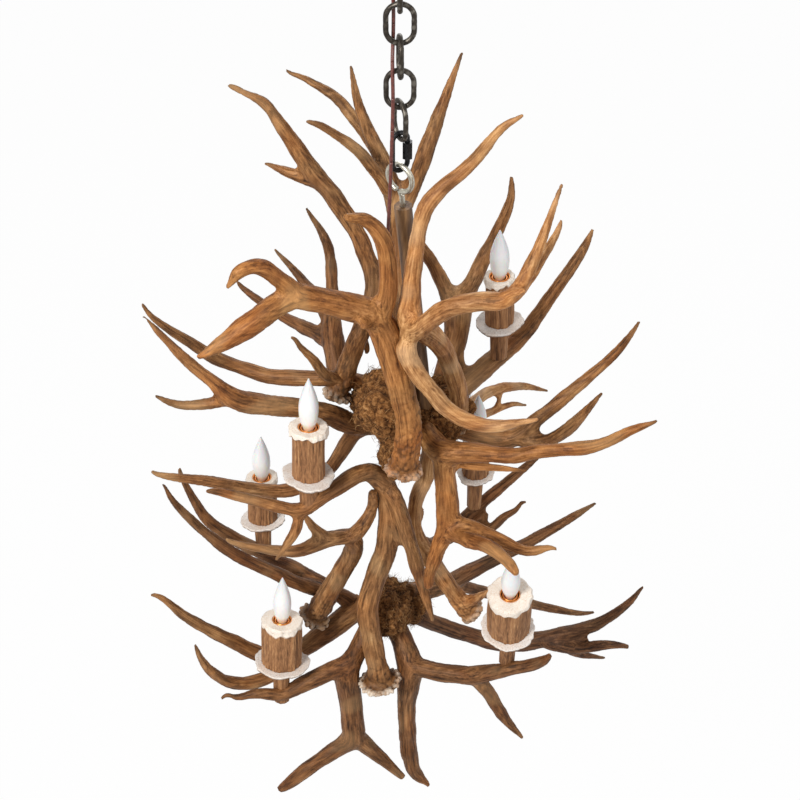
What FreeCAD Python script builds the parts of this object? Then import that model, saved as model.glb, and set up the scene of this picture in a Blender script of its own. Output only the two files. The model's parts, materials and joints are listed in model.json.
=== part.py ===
import FreeCAD, Part
import math
import os
import Sketcher

# An antler chandelier with six candle lights, hung on a chain from a ceiling canopy.
# Millimetres. +Z is up, the photographed front faces -Y, and the origin is the
# middle of the ceiling face that the crossbar and the canopy's rim lie against.
# Antlers, candles, post and filler are placed from the hanging point, which is the
# centre of the eye bolt's ring.

Vector = FreeCAD.Vector
Rotation = FreeCAD.Rotation
upward = Vector(0, 0, 1)
rightward = Vector(1, 0, 0)

doc = FreeCAD.newDocument("antler_chandelier")
sheet = doc.addObject("Spreadsheet::Sheet", "sizes")

drivingSizes = {
    # clearances
    "running_gap": 0.3,
    "thread_gap": 0.1,
    "bore_gap": 0.2,
    # ceiling hardware
    "crossbar_long": 104,
    "crossbar_wide": 22,
    "crossbar_thick": 2.5,
    "crossbar_slot_span": 84,
    "crossbar_slot_wide": 5,
    "crossbar_slot_long": 12,
    "nipple_thick": 9.6,
    "nipple_bore": 6,
    "canopy_wide": 130,
    "canopy_deep": 26,
    "canopy_wall": 1.5,
    "canopy_flat_wide": 62,
    "bushing_out": 21,
    "bushing_body_wide": 8,
    "bushing_flange_wide": 12,
    "bushing_flange_high": 2,
    "bushing_behind": 4,
    "loop_stem_wide": 17,
    "loop_stem_above": 6,
    "loop_stem_below": 12,
    "loop_ring_wide": 30,
    "loop_wire": 5.5,
    "collar_wide": 28,
    "collar_high": 8,
    # chain and hanger
    "link_long": 51.5,
    "link_wide": 36.5,
    "link_wire": 6.3,
    "quick_long": 54,
    "quick_wide": 25,
    "quick_wire": 6,
    "quick_mouth": 11,
    "sleeve_long": 21,
    "sleeve_wide": 12.4,
    "eye_wide": 40.5,
    "eye_wire": 6.3,
    "eye_shank_long": 68,
    "eye_lean": 5.5,
    "post_wide": 21,
    "post_long": 320,
    "post_start": 38,  # from the hanging point to the post's top
    # candles
    "pan_thick": 7.5,
    "cover_high": 71,
    "cover_bore": 27,
    "rim_high": 6,
    "stub_wide": 24,
    "stub_taper": 3,
    "candle_nipple_in": 7,
    "socket_wide": 23,
    "socket_floor": 9,
    "socket_ring_high": 2.4,
    "socket_ring_drop": 2.2,
    "socket_ring_inner": 20,
    "shell_bore": 12.4,
    "shell_deep": 25,
    "bulb_base_wide": 12,
    "bulb_base_long": 22,
    "bulb_neck_wide": 15,
    "bulb_wide": 25,
    "bulb_belly": 21,
    "bulb_out": 69,
    "bulb_tip_wide": 2.4,
    # cord
    "cord_thick": 4.2,
}

sheet.set("A1", "size")
sheet.set("B1", "millimetres, and degrees for a lean")
for row, (alias, amount) in enumerate(drivingSizes.items(), start=2):
    sheet.set("A%d" % row, alias)
    sheet.set("B%d" % row, str(amount))
    sheet.setAlias("B%d" % row, alias)
doc.recompute()


class Amount:
    """A length with its number and the expression that gives it from the sheet."""

    def __init__(self, value, text):
        self.value = value
        self.text = text

    def __add__(self, other):
        other = asAmount(other)
        return Amount(self.value + other.value, "(%s + %s)" % (self.text, other.text))

    def __sub__(self, other):
        other = asAmount(other)
        return Amount(self.value - other.value, "(%s - %s)" % (self.text, other.text))

    def __mul__(self, factor):
        return Amount(self.value * factor, "(%s * %s)" % (self.text, factor))

    def __truediv__(self, factor):
        return Amount(self.value / factor, "(%s / %s)" % (self.text, factor))

    def __neg__(self):
        return Amount(-self.value, "(0 - %s)" % self.text)


def asAmount(thing):
    return thing if isinstance(thing, Amount) else Amount(float(thing), str(thing))


def size(alias):
    return Amount(float(sheet.get(alias)), "sizes." + alias)


subParts = []


def keep(thing, label):
    """Name a finished sub-part. Its label is its file's name."""
    thing.Label = label
    subParts.append(thing)
    return thing


def bind(thing, **amounts):
    for name, amount in amounts.items():
        amount = asAmount(amount)
        setattr(thing, name, amount.value)
        thing.setExpression(name, amount.text)
    return thing


def place(thing, x=0, y=0, z=0, turn=None):
    """Placement whose coordinates follow the sheet where they are given as amounts."""
    spot = [asAmount(x), asAmount(y), asAmount(z)]
    thing.Placement = FreeCAD.Placement(Vector(*[a.value for a in spot]), turn or Rotation())
    for name, amount, given in zip("xyz", spot, (x, y, z)):
        if isinstance(given, Amount):
            thing.setExpression("Placement.Base." + name, amount.text)
    return thing


def cylinder(wide, tall, x=0, y=0, z=0, turn=None):
    rod = doc.addObject("Part::Cylinder", "rod")
    bind(rod, Radius=asAmount(wide) / 2, Height=tall)
    return place(rod, x, y, z, turn)


def torus(middleWide, wire, sweep=360, x=0, y=0, z=0, turn=None):
    ring = doc.addObject("Part::Torus", "ring")
    bind(ring, Radius1=asAmount(middleWide) / 2, Radius2=asAmount(wire) / 2)
    ring.Angle3 = sweep
    return place(ring, x, y, z, turn)


def fuse(pieces):
    joined = doc.addObject("Part::MultiFuse", "joined")
    joined.Shapes = pieces
    joined.Refine = False
    return joined


def cut(base, tool):
    left = doc.addObject("Part::Cut", "cut")
    left.Base = base
    left.Tool = tool
    return left


def turnedBody(name, corners):
    """A body turned about its own Z axis from (radius, height) corners, all at or above zero."""
    body = doc.addObject("PartDesign::Body", name)
    plane = [f for f in body.Origin.OriginFeatures if f.Role == "XZ_Plane"][0]
    sketch = body.newObject("Sketcher::SketchObject", name + "_profile")
    sketch.AttachmentSupport = [(plane, "")]
    sketch.MapMode = "FlatFace"
    corners = [(asAmount(r), asAmount(h)) for r, h in corners]
    points = [Vector(r.value, h.value, 0) for r, h in corners]
    count = len(points)
    for i in range(count):
        sketch.addGeometry(Part.LineSegment(points[i], points[(i + 1) % count]), False)
    for i in range(count):
        sketch.addConstraint(Sketcher.Constraint("Coincident", i, 2, (i + 1) % count, 1))
    for i, (r, h) in enumerate(corners):
        for kind, amount, axis in (("DistanceX", r, -2), ("DistanceY", h, -1)):
            if amount.value == 0:
                sketch.addConstraint(Sketcher.Constraint("PointOnObject", i, 1, axis))
                continue
            at = sketch.addConstraint(Sketcher.Constraint(kind, -1, 1, i, 1, amount.value))
            label = "%s%d" % ("radius" if axis == -2 else "height", i)
            sketch.renameConstraint(at, label)
            sketch.setExpression("Constraints." + label, amount.text)
    turned = body.newObject("PartDesign::Revolution", name + "_turned")
    turned.Profile = sketch
    turned.ReferenceAxis = (sketch, ["V_Axis"])
    turned.Angle = 360
    body.Tip = turned
    return body


def oblong(longSide, wideSide, wire):
    """A chain link: two half rings and two straight legs, standing in the XZ plane."""
    middle = wideSide - wire
    straight = longSide - wideSide
    top = torus(middle, wire, 180, z=straight / 2, turn=Rotation(rightward, 90))
    bottom = torus(middle, wire, 180, z=-(straight / 2), turn=Rotation(rightward, -90))
    legs = []
    for side in (middle / 2, -(middle / 2)):
        legs.append(cylinder(wire, straight, x=side, z=-(straight / 2)))
    return fuse([top, bottom] + legs)


# ---- ceiling hardware, with heights measured down from the ceiling ----

crossbarThick = size("crossbar_thick")
canopyDeep = size("canopy_deep")
canopyWall = size("canopy_wall")
stemWide = size("loop_stem_wide")
nippleThick = size("nipple_thick")
threadGap = size("thread_gap")
boreGap = size("bore_gap")
runningGap = size("running_gap")

bar = doc.addObject("Part::Box", "bar")
bind(bar, Length=size("crossbar_long"), Width=size("crossbar_wide"), Height=crossbarThick)
place(bar, -(size("crossbar_long") / 2), -(size("crossbar_wide") / 2), -crossbarThick)
crossbarCuts = [cylinder(nippleThick + threadGap * 2, crossbarThick * 3, z=-(crossbarThick * 2))]
slotWide = size("crossbar_slot_wide")
slotLong = size("crossbar_slot_long")
for side in (1, -1):
    middle = size("crossbar_slot_span") / 2 * side
    for end in (1, -1):
        at = middle + (slotLong - slotWide) / 2 * end
        crossbarCuts.append(cylinder(slotWide, crossbarThick * 3, x=at, z=-(crossbarThick * 2)))
    gap = doc.addObject("Part::Box", "gap")
    bind(gap, Length=slotLong - slotWide, Width=slotWide, Height=crossbarThick * 3)
    place(gap, middle - (slotLong - slotWide) / 2, -(slotWide / 2), -(crossbarThick * 2))
    crossbarCuts.append(gap)
keep(cut(bar, fuse(crossbarCuts)), "ceiling_crossbar")

stemTop = canopyDeep - size("loop_stem_above")
nipple = cut(
    cylinder(nippleThick, stemTop, z=-stemTop),
    cylinder(size("nipple_bore"), stemTop + 2, z=-(stemTop + 1)),
)
keep(nipple, "canopy_nipple")

canopyRadius = size("canopy_wide") / 2
flatRadius = size("canopy_flat_wide") / 2
holeRadius = stemWide / 2 + boreGap
canopyShell = turnedBody("canopy_body", [
    (holeRadius, 0),
    (flatRadius, 0),
    (canopyRadius - canopyWall * 3, canopyDeep - canopyWall * 5),
    (canopyRadius, canopyDeep - canopyWall * 2),
    (canopyRadius, canopyDeep),
    (canopyRadius - canopyWall, canopyDeep),
    (canopyRadius - canopyWall, canopyDeep - canopyWall),
    (canopyRadius - canopyWall * 4, canopyDeep - canopyWall * 4),
    (flatRadius - canopyWall / 2, canopyWall),
    (holeRadius, canopyWall),
])
place(canopyShell, z=-canopyDeep)
# the cord leaves through a bushed hole beside the loop, to the left and a little behind
bushingOut = size("bushing_out")
bushingX = -bushingOut * round(math.cos(math.radians(28)), 4)
bushingY = bushingOut * round(math.sin(math.radians(28)), 4)
bushingHole = cylinder(
    size("bushing_body_wide") + boreGap * 2, canopyWall * 4,
    x=bushingX, y=bushingY, z=-(canopyDeep + canopyWall),
)
keep(cut(canopyShell, bushingHole), "canopy")

flangeHigh = size("bushing_flange_high")
bushingBehind = size("bushing_behind")
cordThick = size("cord_thick")
bushing = turnedBody("bushing_body", [
    (cordThick / 2 + threadGap, 0),
    (size("bushing_flange_wide") / 2 - 1, 0),
    (size("bushing_flange_wide") / 2, flangeHigh),
    (size("bushing_body_wide") / 2, flangeHigh),
    (size("bushing_body_wide") / 2, flangeHigh + bushingBehind),
    (cordThick / 2 + threadGap, flangeHigh + bushingBehind),
])
keep(place(bushing, bushingX, bushingY, -(canopyDeep + flangeHigh)), "cord_bushing")

stemBottom = canopyDeep + size("loop_stem_below")
loopMiddle = size("loop_ring_wide") - size("loop_wire")
loopDepth = stemBottom + loopMiddle / 2
loop = fuse([
    cylinder(stemWide, stemBottom - stemTop, z=-stemBottom),
    torus(loopMiddle, size("loop_wire"), z=-loopDepth, turn=Rotation(Vector(0, 1, 0), 90)),
])
keep(loop, "canopy_loop")

collarHigh = size("collar_high")
collar = turnedBody("collar_body", [
    (stemWide / 2 + threadGap, 0),
    (size("collar_wide") / 2 - 2, 0),
    (size("collar_wide") / 2, 2),
    (size("collar_wide") / 2, collarHigh),
    (stemWide / 2 + threadGap, collarHigh),
])
collarDepth = canopyDeep + collarHigh + runningGap
keep(place(collar, z=-collarDepth), "loop_collar")

# ---- chain: each link hangs in the one above, turned a quarter from it ----

linkWire = size("link_wire")
linkLong = size("link_long")
linkWide = size("link_wide")
linkStep = linkLong - linkWire * 2 - runningGap
firstTop = loopDepth + loopMiddle / 2 - (size("loop_wire") + linkWire) / 2 - runningGap
linkTurns = (0, 90, 0, 95, 0, 115)
for number, turn in enumerate(linkTurns):
    middle = firstTop + (linkLong - linkWire) / 2 + linkStep * number
    link = oblong(linkLong, linkWide, linkWire)
    place(link, z=-middle, turn=Rotation(upward, turn))
    keep(link, "chain_link_%d" % (number + 1))
chainBottom = firstTop + (linkLong - linkWire) + linkStep * (len(linkTurns) - 1)

# quick link: an open oblong whose mouth is closed by a threaded sleeve
quickWire = size("quick_wire")
quickLong = size("quick_long")
quickWide = size("quick_wide")
quickTurn = Rotation(upward, 28)
quickTop = chainBottom - (linkWire + quickWire) / 2 - runningGap
quickMiddle = quickTop + (quickLong - quickWire) / 2
legOut = (quickWide - quickWire) / 2
mouth = cylinder(quickWire * 2, size("quick_mouth"), x=legOut, z=-(size("quick_mouth") / 2))
quickLink = cut(oblong(quickLong, quickWide, quickWire), mouth)
keep(place(quickLink, z=-quickMiddle, turn=quickTurn), "quick_link")

sleeveLong = size("sleeve_long")
nut = doc.addObject("Part::Prism", "nut")
nut.Polygon = 6
bind(nut, Circumradius=size("sleeve_wide") / 2, Height=sleeveLong)
place(nut, x=legOut, z=-(sleeveLong / 2))
thread = cylinder(quickWire + threadGap * 2, sleeveLong * 2, x=legOut, z=-sleeveLong)
sleeve = cut(nut, thread)
keep(place(sleeve, z=-quickMiddle, turn=quickTurn), "quick_link_sleeve")

# eye bolt: its ring's centre is the hanging point
eyeWire = size("eye_wire")
eyeMiddle = size("eye_wide") - eyeWire
quickBottom = quickMiddle + (quickLong - quickWire) / 2
drop = quickBottom - (quickWire + eyeWire) / 2 - runningGap + eyeMiddle / 2
eyeTurn = Rotation(upward, -38)
leanAxis = Vector(0.37, -0.93, 0)
shankTurn = Rotation(leanAxis, size("eye_lean").value)
shankDown = shankTurn.multVec(-upward)
shankLong = size("eye_shank_long")


def alongShank(distance):
    """Placement values for a point on the shank, measured from the hanging point."""
    return [distance * round(part, 5) for part in shankDown]


downTurn = shankTurn.multiply(Rotation(rightward, 180))
ring = torus(eyeMiddle, eyeWire, turn=eyeTurn.multiply(Rotation(rightward, 90)))
shankX, shankY, shankZ = alongShank(eyeMiddle / 2)
shank = cylinder(eyeWire, shankLong - eyeMiddle / 2, shankX, shankY, shankZ, downTurn)
keep(place(fuse([ring, shank]), z=-drop), "eye_bolt")

# post: takes the bolt's shank in a bore, and the antlers are screwed to it further down
postLong = size("post_long")
postX, postY, postZ = alongShank(size("post_start"))
post = cut(
    cylinder(size("post_wide"), postLong),
    cylinder(eyeWire + boreGap * 2, shankLong - size("post_start") + runningGap * 4),
)
keep(place(post, postX, postY, postZ - drop, downTurn), "hanging_post")


# ---- antlers ----
# Each antler is a list of stems: the beam first, then its tines. A stem is a list of
# stations (x, y, z, radius), in millimetres from the hanging point.

antlers = {
    "front_left_high": [
        [
            (4, -103, -355, 16), (10, -98, -310, 15.5), (6, -88, -263, 15.5), (-14, -70, -181, 18),
            (-30, -68, -145, 18), (-60, -83, -120, 16), (-120, -108, -85, 14),
        ],
        [
            (-26, -70, -152, 13), (-15, -68, -117, 11.5), (-13, -63, -80, 10.5), (-18, -60, -48, 10),
            (-31, -63, -22, 9), (-46, -70, -8, 7), (-60, -78, -1, 3.5),
        ],
        [
            (-112, -103, -90, 12), (-146, -120, -43, 9.5), (-162, -128, -33, 8.5), (-176, -134, -37, 7),
            (-189, -140, -52, 2.5),
        ],
        [
            (-112, -103, -90, 13), (-135, -116, -92, 14), (-178, -138, -114, 13), (-215, -152, -133, 5.5),
            (-226, -156, -136, 2),
        ],
        [(-30, -78, -146, 6), (-39, -96, -136, 6), (-43, -104, -132, 4)],
    ],
    "front_right_high": [
        [
            (74, 22, -388, 14.5), (76, 14, -341, 12.5), (65, 2, -282, 12.5), (49, -18, -226, 13),
            (29, -43, -184, 14.5), (13, -63, -157, 16), (12, -60, -122, 12), (20, -46, -53, 9),
            (27, -40, -20, 9.2), (41, -35, 2, 8.8), (80, -30, 39, 7.5), (109, -30, 80, 5),
            (133, -33, 100, 2),
        ],
        [
            (12, -66, -164, 13), (21, -86, -150, 11.5), (56, -116, -97, 11), (107, -128, -77, 10.5),
            (125, -128, -72, 9), (149, -108, -30, 7), (174, -86, 46, 1.8),
        ],
        [(107, -128, -77, 8), (123, -134, -65, 5.5), (137, -140, -55, 2)],
        [(125, -128, -72, 7.5), (140, -110, -67, 6.5), (171, -70, -37, 4.5), (180, -60, -17, 1.8)],
        [
            (12, -66, -164, 13), (8, -84, -181, 12), (18, -96, -203, 11), (58, -116, -247, 10),
            (105, -130, -260, 8.5), (161, -142, -239, 2),
        ],
    ],
    "upper_left": [
        [
            (-81, 13, -333, 14), (-56, 25, -260, 12.5), (-44, 38, -234, 12.5), (-32, 70, -197, 12),
            (-52, 92, -141, 11), (-87, 106, -83, 11.5), (-107, 112, -60, 12), (-151, 118, 16, 7),
            (-163, 120, 31, 6), (-202, 124, 50, 1.8),
        ],
        [(-93, 108, -76, 9.5), (-127, 116, -68, 7.5), (-165, 124, -56, 1.8)],
        [(-48, 35, -244, 5), (-42, 40, -276, 4), (-43, 42, -287, 2)],
    ],
    "top_back": [
        [
            (-3, 22, -301, 12), (0, 84, -218, 11), (-1, 114, -177, 11.5), (-11, 136, -96, 11.5),
            (-47, 154, -5, 7), (-59, 166, 53, 1.8),
        ],
        [
            (-17, 142, -80, 8.5), (-32, 158, -54, 8.5), (-71, 188, -11, 7), (-98, 198, 7, 5.5),
            (-140, 210, 24, 1.8),
        ],
        [
            (-7, 130, -113, 9), (-36, 116, -54, 7.5), (-56, 112, -26, 6.5), (-96, 107, 7, 4),
            (-111, 105, 13, 1.8),
        ],
        [(-3, 124, -146, 11), (20, 130, -80, 10.5), (41, 142, -19, 9), (74, 170, 69, 1.8)],
    ],
    "back_left": [
        [
            (-75, 40, -349, 13), (-87, 91, -303, 14.5), (-89, 122, -281, 10), (-91, 174, -238, 7.5),
            (-98, 184, -208, 6.2), (-122, 198, -169, 1.8),
        ],
        [(-86, 97, -301, 11), (-100, 132, -285, 9), (-133, 178, -265, 6), (-167, 200, -235, 1.8)],
        [
            (-86, 87, -307, 12), (-108, 114, -311, 10.5), (-156, 159, -317, 7), (-205, 196, -304, 4.5),
            (-220, 202, -289, 1.8),
        ],
    ],
    "left_high": [
        [
            (-44, 38, -334, 12), (-70, 20, -311, 11), (-99, 13, -304, 10.5), (-159, 18, -306, 10),
            (-190, 24, -301, 9.5), (-220, 26, -288, 9), (-244, 22, -269, 8.3), (-298, 10, -211, 4.2),
            (-313, 6, -181, 1.8),
        ],
        [(-70, 16, -311, 8), (-94, -2, -285, 6.5), (-107, -10, -256, 5.8), (-133, -14, -217, 2)],
    ],
    "left_mid": [
        [
            (-34, 18, -385, 14), (-61, 5, -374, 14), (-89, -8, -347, 14), (-126, -19, -327, 12.5),
            (-193, -30, -307, 13.5), (-215, -34, -291, 12.5), (-230, -34, -272, 9), (-263, -30, -237, 7),
            (-307, -24, -178, 1.8),
        ],
        [
            (-204, -32, -301, 9.5), (-251, -38, -305, 6.5), (-278, -40, -302, 5), (-302, -42, -287, 2),
        ],
        [
            (-49, 11, -382, 12), (-68, 13, -410, 10.5), (-85, 10, -441, 9.8), (-107, 3, -464, 9.5),
            (-159, -11, -477, 9), (-254, -30, -441, 7.3), (-303, -38, -425, 4.3), (-319, -41, -414, 2),
        ],
    ],
    "centre_left": [
        [
            (-28, -88, -774, 15), (-32, -84, -740, 14.5), (-44, -66, -665, 14.5), (-40, -56, -626, 14.5),
            (-16, -40, -543, 15), (-16, -28, -467, 15), (-29, -30, -434, 14), (-51, -48, -412, 11.5),
            (-95, -86, -413, 10), (-118, -98, -423, 10.5), (-138, -104, -421, 9), (-216, -118, -380, 5.2),
            (-238, -122, -373, 2.2),
        ],
        [
            (-118, -98, -423, 9), (-129, -106, -436, 8), (-134, -114, -453, 7), (-158, -128, -487, 2),
        ],
        [
            (-16, -32, -452, 12), (-4, -43, -467, 11), (7, -52, -504, 10.5), (28, -64, -592, 8.5),
            (45, -80, -655, 2.5),
        ],
    ],
    "left_low_fork": [
        [
            (-121, -28, -706, 15), (-79, -26, -611, 13.5), (-62, -34, -562, 13), (-68, -50, -525, 11),
            (-97, -70, -510, 11), (-125, -84, -513, 9), (-151, -94, -506, 7.5), (-200, -108, -481, 4.5),
            (-221, -114, -464, 2),
        ],
        [(-67, -50, -529, 10), (-50, -54, -502, 10), (-38, -41, -486, 8), (-34, -39, -450, 5.5)],
        [(-92, -68, -512, 8.5), (-109, -72, -490, 7), (-127, -75, -451, 2)],
    ],
    "left_low_back": [
        [
            (-69, 18, -726, 13), (-126, 29, -684, 10), (-218, 65, -657, 10.5), (-265, 72, -622, 8.5),
            (-283, 74, -594, 7.3), (-302, 78, -540, 4.2), (-305, 80, -519, 2),
        ],
        [
            (-92, 18, -705, 11), (-122, 8, -686, 10.5), (-181, -5, -636, 9.5), (-242, -10, -583, 8.3),
            (-295, -14, -505, 5), (-312, -16, -460, 1.8),
        ],
    ],
    "low_left": [
        [
            (-52, 22, -728, 16), (-83, 0, -742, 17), (-149, -34, -772, 13), (-180, -42, -776, 12),
            (-210, -46, -756, 11), (-286, -55, -685, 7.8), (-323, -60, -633, 4.2), (-339, -62, -623, 2),
        ],
        [
            (-161, -36, -779, 10), (-178, -50, -797, 10), (-200, -62, -800, 9.8), (-224, -72, -795, 9.5),
            (-245, -80, -781, 8.8), (-263, -88, -752, 7), (-274, -94, -720, 5), (-280, -100, -682, 2),
        ],
    ],
    "low_front_left": [
        [
            (-28, -4, -696, 13), (-59, -60, -738, 14), (-75, -78, -760, 18), (-72, -84, -800, 17),
            (-69, -90, -842, 16.5), (-68, -96, -884, 17), (-90, -102, -904, 12.5), (-138, -114, -940, 11),
            (-160, -120, -961, 9), (-178, -126, -972, 4.5),
        ],
        [(-68, -94, -878, 14), (-48, -98, -905, 12.5), (4, -110, -963, 4.5)],
        [
            (-74, -76, -749, 15), (-120, -94, -760, 12.5), (-166, -110, -773, 9.5), (-188, -116, -764, 8),
            (-248, -126, -764, 2.2),
        ],
    ],
    "right_front": [
        [
            (26, 0, -369, 14), (38, -30, -367, 15), (52, -50, -371, 17), (72, -60, -364, 14),
            (144, -79, -352, 9.8), (168, -83, -343, 9), (238, -90, -327, 8), (279, -94, -299, 5.7),
            (309, -98, -280, 2),
        ],
        [(61, -54, -376, 8), (81, -54, -391, 6), (127, -58, -393, 4.2), (161, -60, -396, 1.6)],
        [
            (52, -50, -369, 15), (57, -62, -400, 14), (62, -74, -473, 15), (53, -82, -499, 11.5),
            (39, -92, -549, 8), (36, -96, -573, 4.5),
        ],
        [
            (62, -74, -469, 12), (103, -93, -470, 9.5), (145, -108, -484, 8.2), (162, -113, -486, 7.2),
            (180, -117, -479, 5.2), (199, -121, -475, 2),
        ],
        [
            (62, -76, -478, 12), (77, -98, -476, 10.5), (112, -138, -454, 9.2), (138, -174, -451, 6.5),
            (144, -184, -456, 4),
        ],
    ],
    "right_high": [
        [
            (32, 42, -385, 14), (60, 30, -395, 14), (124, 12, -404, 13), (153, 6, -395, 12),
            (173, 10, -375, 10), (263, 34, -293, 6.4), (292, 42, -254, 3.4), (300, 44, -237, 1.8),
        ],
        [
            (146, 8, -400, 11), (171, -4, -397, 9.5), (192, -12, -386, 8.7), (220, -23, -349, 7.8),
            (250, -35, -288, 1.8),
        ],
    ],
    "right_upper": [
        [
            (65, 44, -363, 14), (144, 105, -326, 13), (167, 122, -312, 11), (186, 139, -292, 9.5),
            (235, 165, -219, 6.6), (250, 174, -186, 2),
        ],
        [(92, 66, -350, 6), (81, 83, -334, 4), (84, 97, -320, 1.6)],
    ],
    "back_fork": [
        [
            (53, 68, -372, 13), (74, 126, -320, 17), (78, 152, -293, 19), (94, 170, -273, 12.5),
            (108, 186, -249, 10.5), (142, 206, -170, 6.4), (144, 214, -132, 2.5),
        ],
        [(74, 145, -298, 15), (47, 183, -255, 9), (32, 196, -234, 7.8), (11, 210, -199, 3)],
    ],
    "back_right": [
        [
            (32, 42, -406, 12), (83, 132, -461, 10), (128, 196, -478, 8), (176, 240, -504, 5.8),
            (220, 271, -539, 1.8),
        ],
        [
            (83, 129, -463, 7.5), (110, 161, -494, 6.5), (159, 211, -515, 4.2), (185, 234, -535, 1.8),
        ],
        [(135, 187, -505, 4.5), (141, 196, -499, 3.6), (145, 204, -491, 1.8)],
    ],
    "right_low_back": [
        [
            (12, 28, -714, 13), (41, 51, -734, 13), (72, 75, -745, 13), (100, 95, -744, 12.5),
            (187, 146, -735, 9), (256, 168, -702, 6.3), (294, 180, -682, 2),
        ],
        [
            (72, 75, -747, 10), (105, 103, -785, 9.5), (187, 147, -862, 8), (229, 164, -894, 7),
            (284, 176, -921, 4.5), (311, 182, -925, 1.8),
        ],
    ],
    "right_mid_back": [
        [
            (19, -12, -570, 11), (42, 26, -616, 11), (64, 66, -644, 11), (82, 104, -661, 10.5),
            (102, 116, -641, 10), (173, 152, -593, 6.5), (212, 174, -570, 2),
        ],
        [(82, 104, -666, 8), (129, 94, -650, 6.5), (148, 92, -627, 6), (180, 88, -592, 1.8)],
        [(117, 96, -654, 5), (122, 106, -649, 5), (126, 116, -641, 4)],
    ],
    "low_right_back": [
        [
            (-6, 34, -750, 13), (55, 56, -813, 12), (125, 67, -859, 12), (160, 71, -873, 12.5),
            (195, 72, -872, 13.5), (251, 68, -847, 11.5), (297, 72, -831, 9), (337, 76, -795, 6),
            (361, 80, -758, 2),
        ],
        [
            (222, 64, -862, 11), (248, 54, -862, 10), (276, 46, -856, 8.8), (300, 40, -842, 7.8),
            (322, 34, -835, 5.5), (341, 30, -835, 3),
        ],
        [(251, 54, -865, 7.5), (275, 64, -890, 6), (316, 74, -911, 2)],
    ],
    "low_right_front": [
        [
            (-11, 10, -715, 14), (-4, -22, -735, 14.5), (14, -62, -770, 18), (9, -75, -847, 13.5),
            (18, -89, -962, 11.5), (43, -100, -998, 3),
        ],
        [
            (13, -60, -764, 15), (35, -72, -765, 13.5), (84, -91, -755, 13), (107, -99, -746, 13),
            (153, -116, -711, 9.3), (174, -122, -699, 8.7), (191, -128, -684, 7.4), (201, -134, -663, 3.5),
        ],
        [
            (103, -98, -751, 11.5), (121, -102, -774, 10.3), (147, -112, -821, 8), (175, -122, -856, 2.2),
        ],
    ],
    "right_inner": [
        [
            (102, -34, -684, 14.5), (86, -36, -669, 12.5), (55, -30, -614, 12), (24, -14, -562, 11),
            (19, -2, -532, 10.5), (24, 10, -502, 10.5), (34, 16, -482, 10.5), (41, 20, -407, 11),
        ],
        [(81, -36, -663, 9), (97, -44, -655, 8), (121, -60, -617, 2.5)],
        [(22, -6, -543, 6), (28, 2, -538, 4), (31, 6, -525, 1.6)],
    ],

}

# burr at the foot of a shed antler: radius of its coronet
burrs = {
    "front_left_high": 24,
    "front_right_high": 20,
    "upper_left": 20,
    "centre_left": 30,
    "left_low_fork": 23,
    "right_inner": 20,
}
burrHigh = 10
burrSill = 1.5  # how far the coronet reaches past the beam's end
tineRoot = 0.93  # a tine's root against its first station, so that it starts inside the beam
stationStep = 18


def curvePoint(before, start, end, after, share):
    """A point on the smooth curve between two stations."""
    point = []
    for a, b, c, d in zip(before, start, end, after):
        slope = c - a
        bow = 2 * a - 5 * b + 4 * c - d
        twist = 3 * b - a - 3 * c + d
        point.append(b + share * (slope + share * (bow + share * twist)) / 2)
    return point


def evenStations(stations):
    """The smooth curve through the stations, cut into even steps of about stationStep."""
    first = [2 * a - b for a, b in zip(stations[0], stations[1])]
    last = [2 * a - b for a, b in zip(stations[-1], stations[-2])]
    padded = [first] + [list(s) for s in stations] + [last]
    dense = []
    for i in range(1, len(padded) - 2):
        for share in range(12):
            dense.append(curvePoint(*padded[i - 1:i + 3], share / 12))
    dense.append(list(stations[-1]))
    run = [0]
    for a, b in zip(dense, dense[1:]):
        run.append(run[-1] + math.dist(a[:3], b[:3]))
    count = max(4, round(run[-1] / stationStep))
    even = []
    k = 0
    for i in range(count + 1):
        wanted = run[-1] * i / count
        while k < len(run) - 2 and run[k + 1] < wanted:
            k += 1
        share = (wanted - run[k]) / (run[k + 1] - run[k])
        even.append([a + (b - a) * share for a, b in zip(dense[k], dense[k + 1])])
    return even


def ringWire(centre, direction, sideways, radius):
    wire = Part.Wire(Part.Circle(Vector(0, 0, 0), upward, radius).toShape())
    turn = Rotation(sideways, direction.cross(sideways), direction, "ZXY")
    wire.Placement = FreeCAD.Placement(centre, turn)
    return wire


def stemSolid(stations):
    """A tapering stem through its stations, with sections square to its path."""
    path = evenStations(stations)
    centres = [Vector(*p[:3]) for p in path]
    wires = []
    sideways = None
    for i, centre in enumerate(centres):
        ahead = centres[min(i + 1, len(centres) - 1)]
        behind = centres[max(i - 1, 0)]
        direction = (ahead - behind).normalize()
        if sideways is None:
            helper = upward if abs(direction.z) < 0.9 else rightward
            sideways = direction.cross(helper)
        sideways = (sideways - direction * sideways.dot(direction)).normalize()
        wires.append(ringWire(centre, direction, sideways, max(path[i][3], 1.2)))
    return Part.makeLoft(wires, True, False)


def burrSolid(stations, radius):
    """The coronet: two cones back to back that swallow the beam's end."""
    start = Vector(*stations[0][:3])
    direction = (Vector(*stations[1][:3]) - start).normalize()
    start = start - direction * burrSill
    rise = burrHigh * 0.4
    widest = start + direction * rise
    lower = Part.makeCone(radius * 0.72, radius, rise, start, direction)
    upper = Part.makeCone(radius, stations[0][3] * 0.8, burrHigh - rise, widest, direction)
    return lower.fuse(upper)


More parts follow.
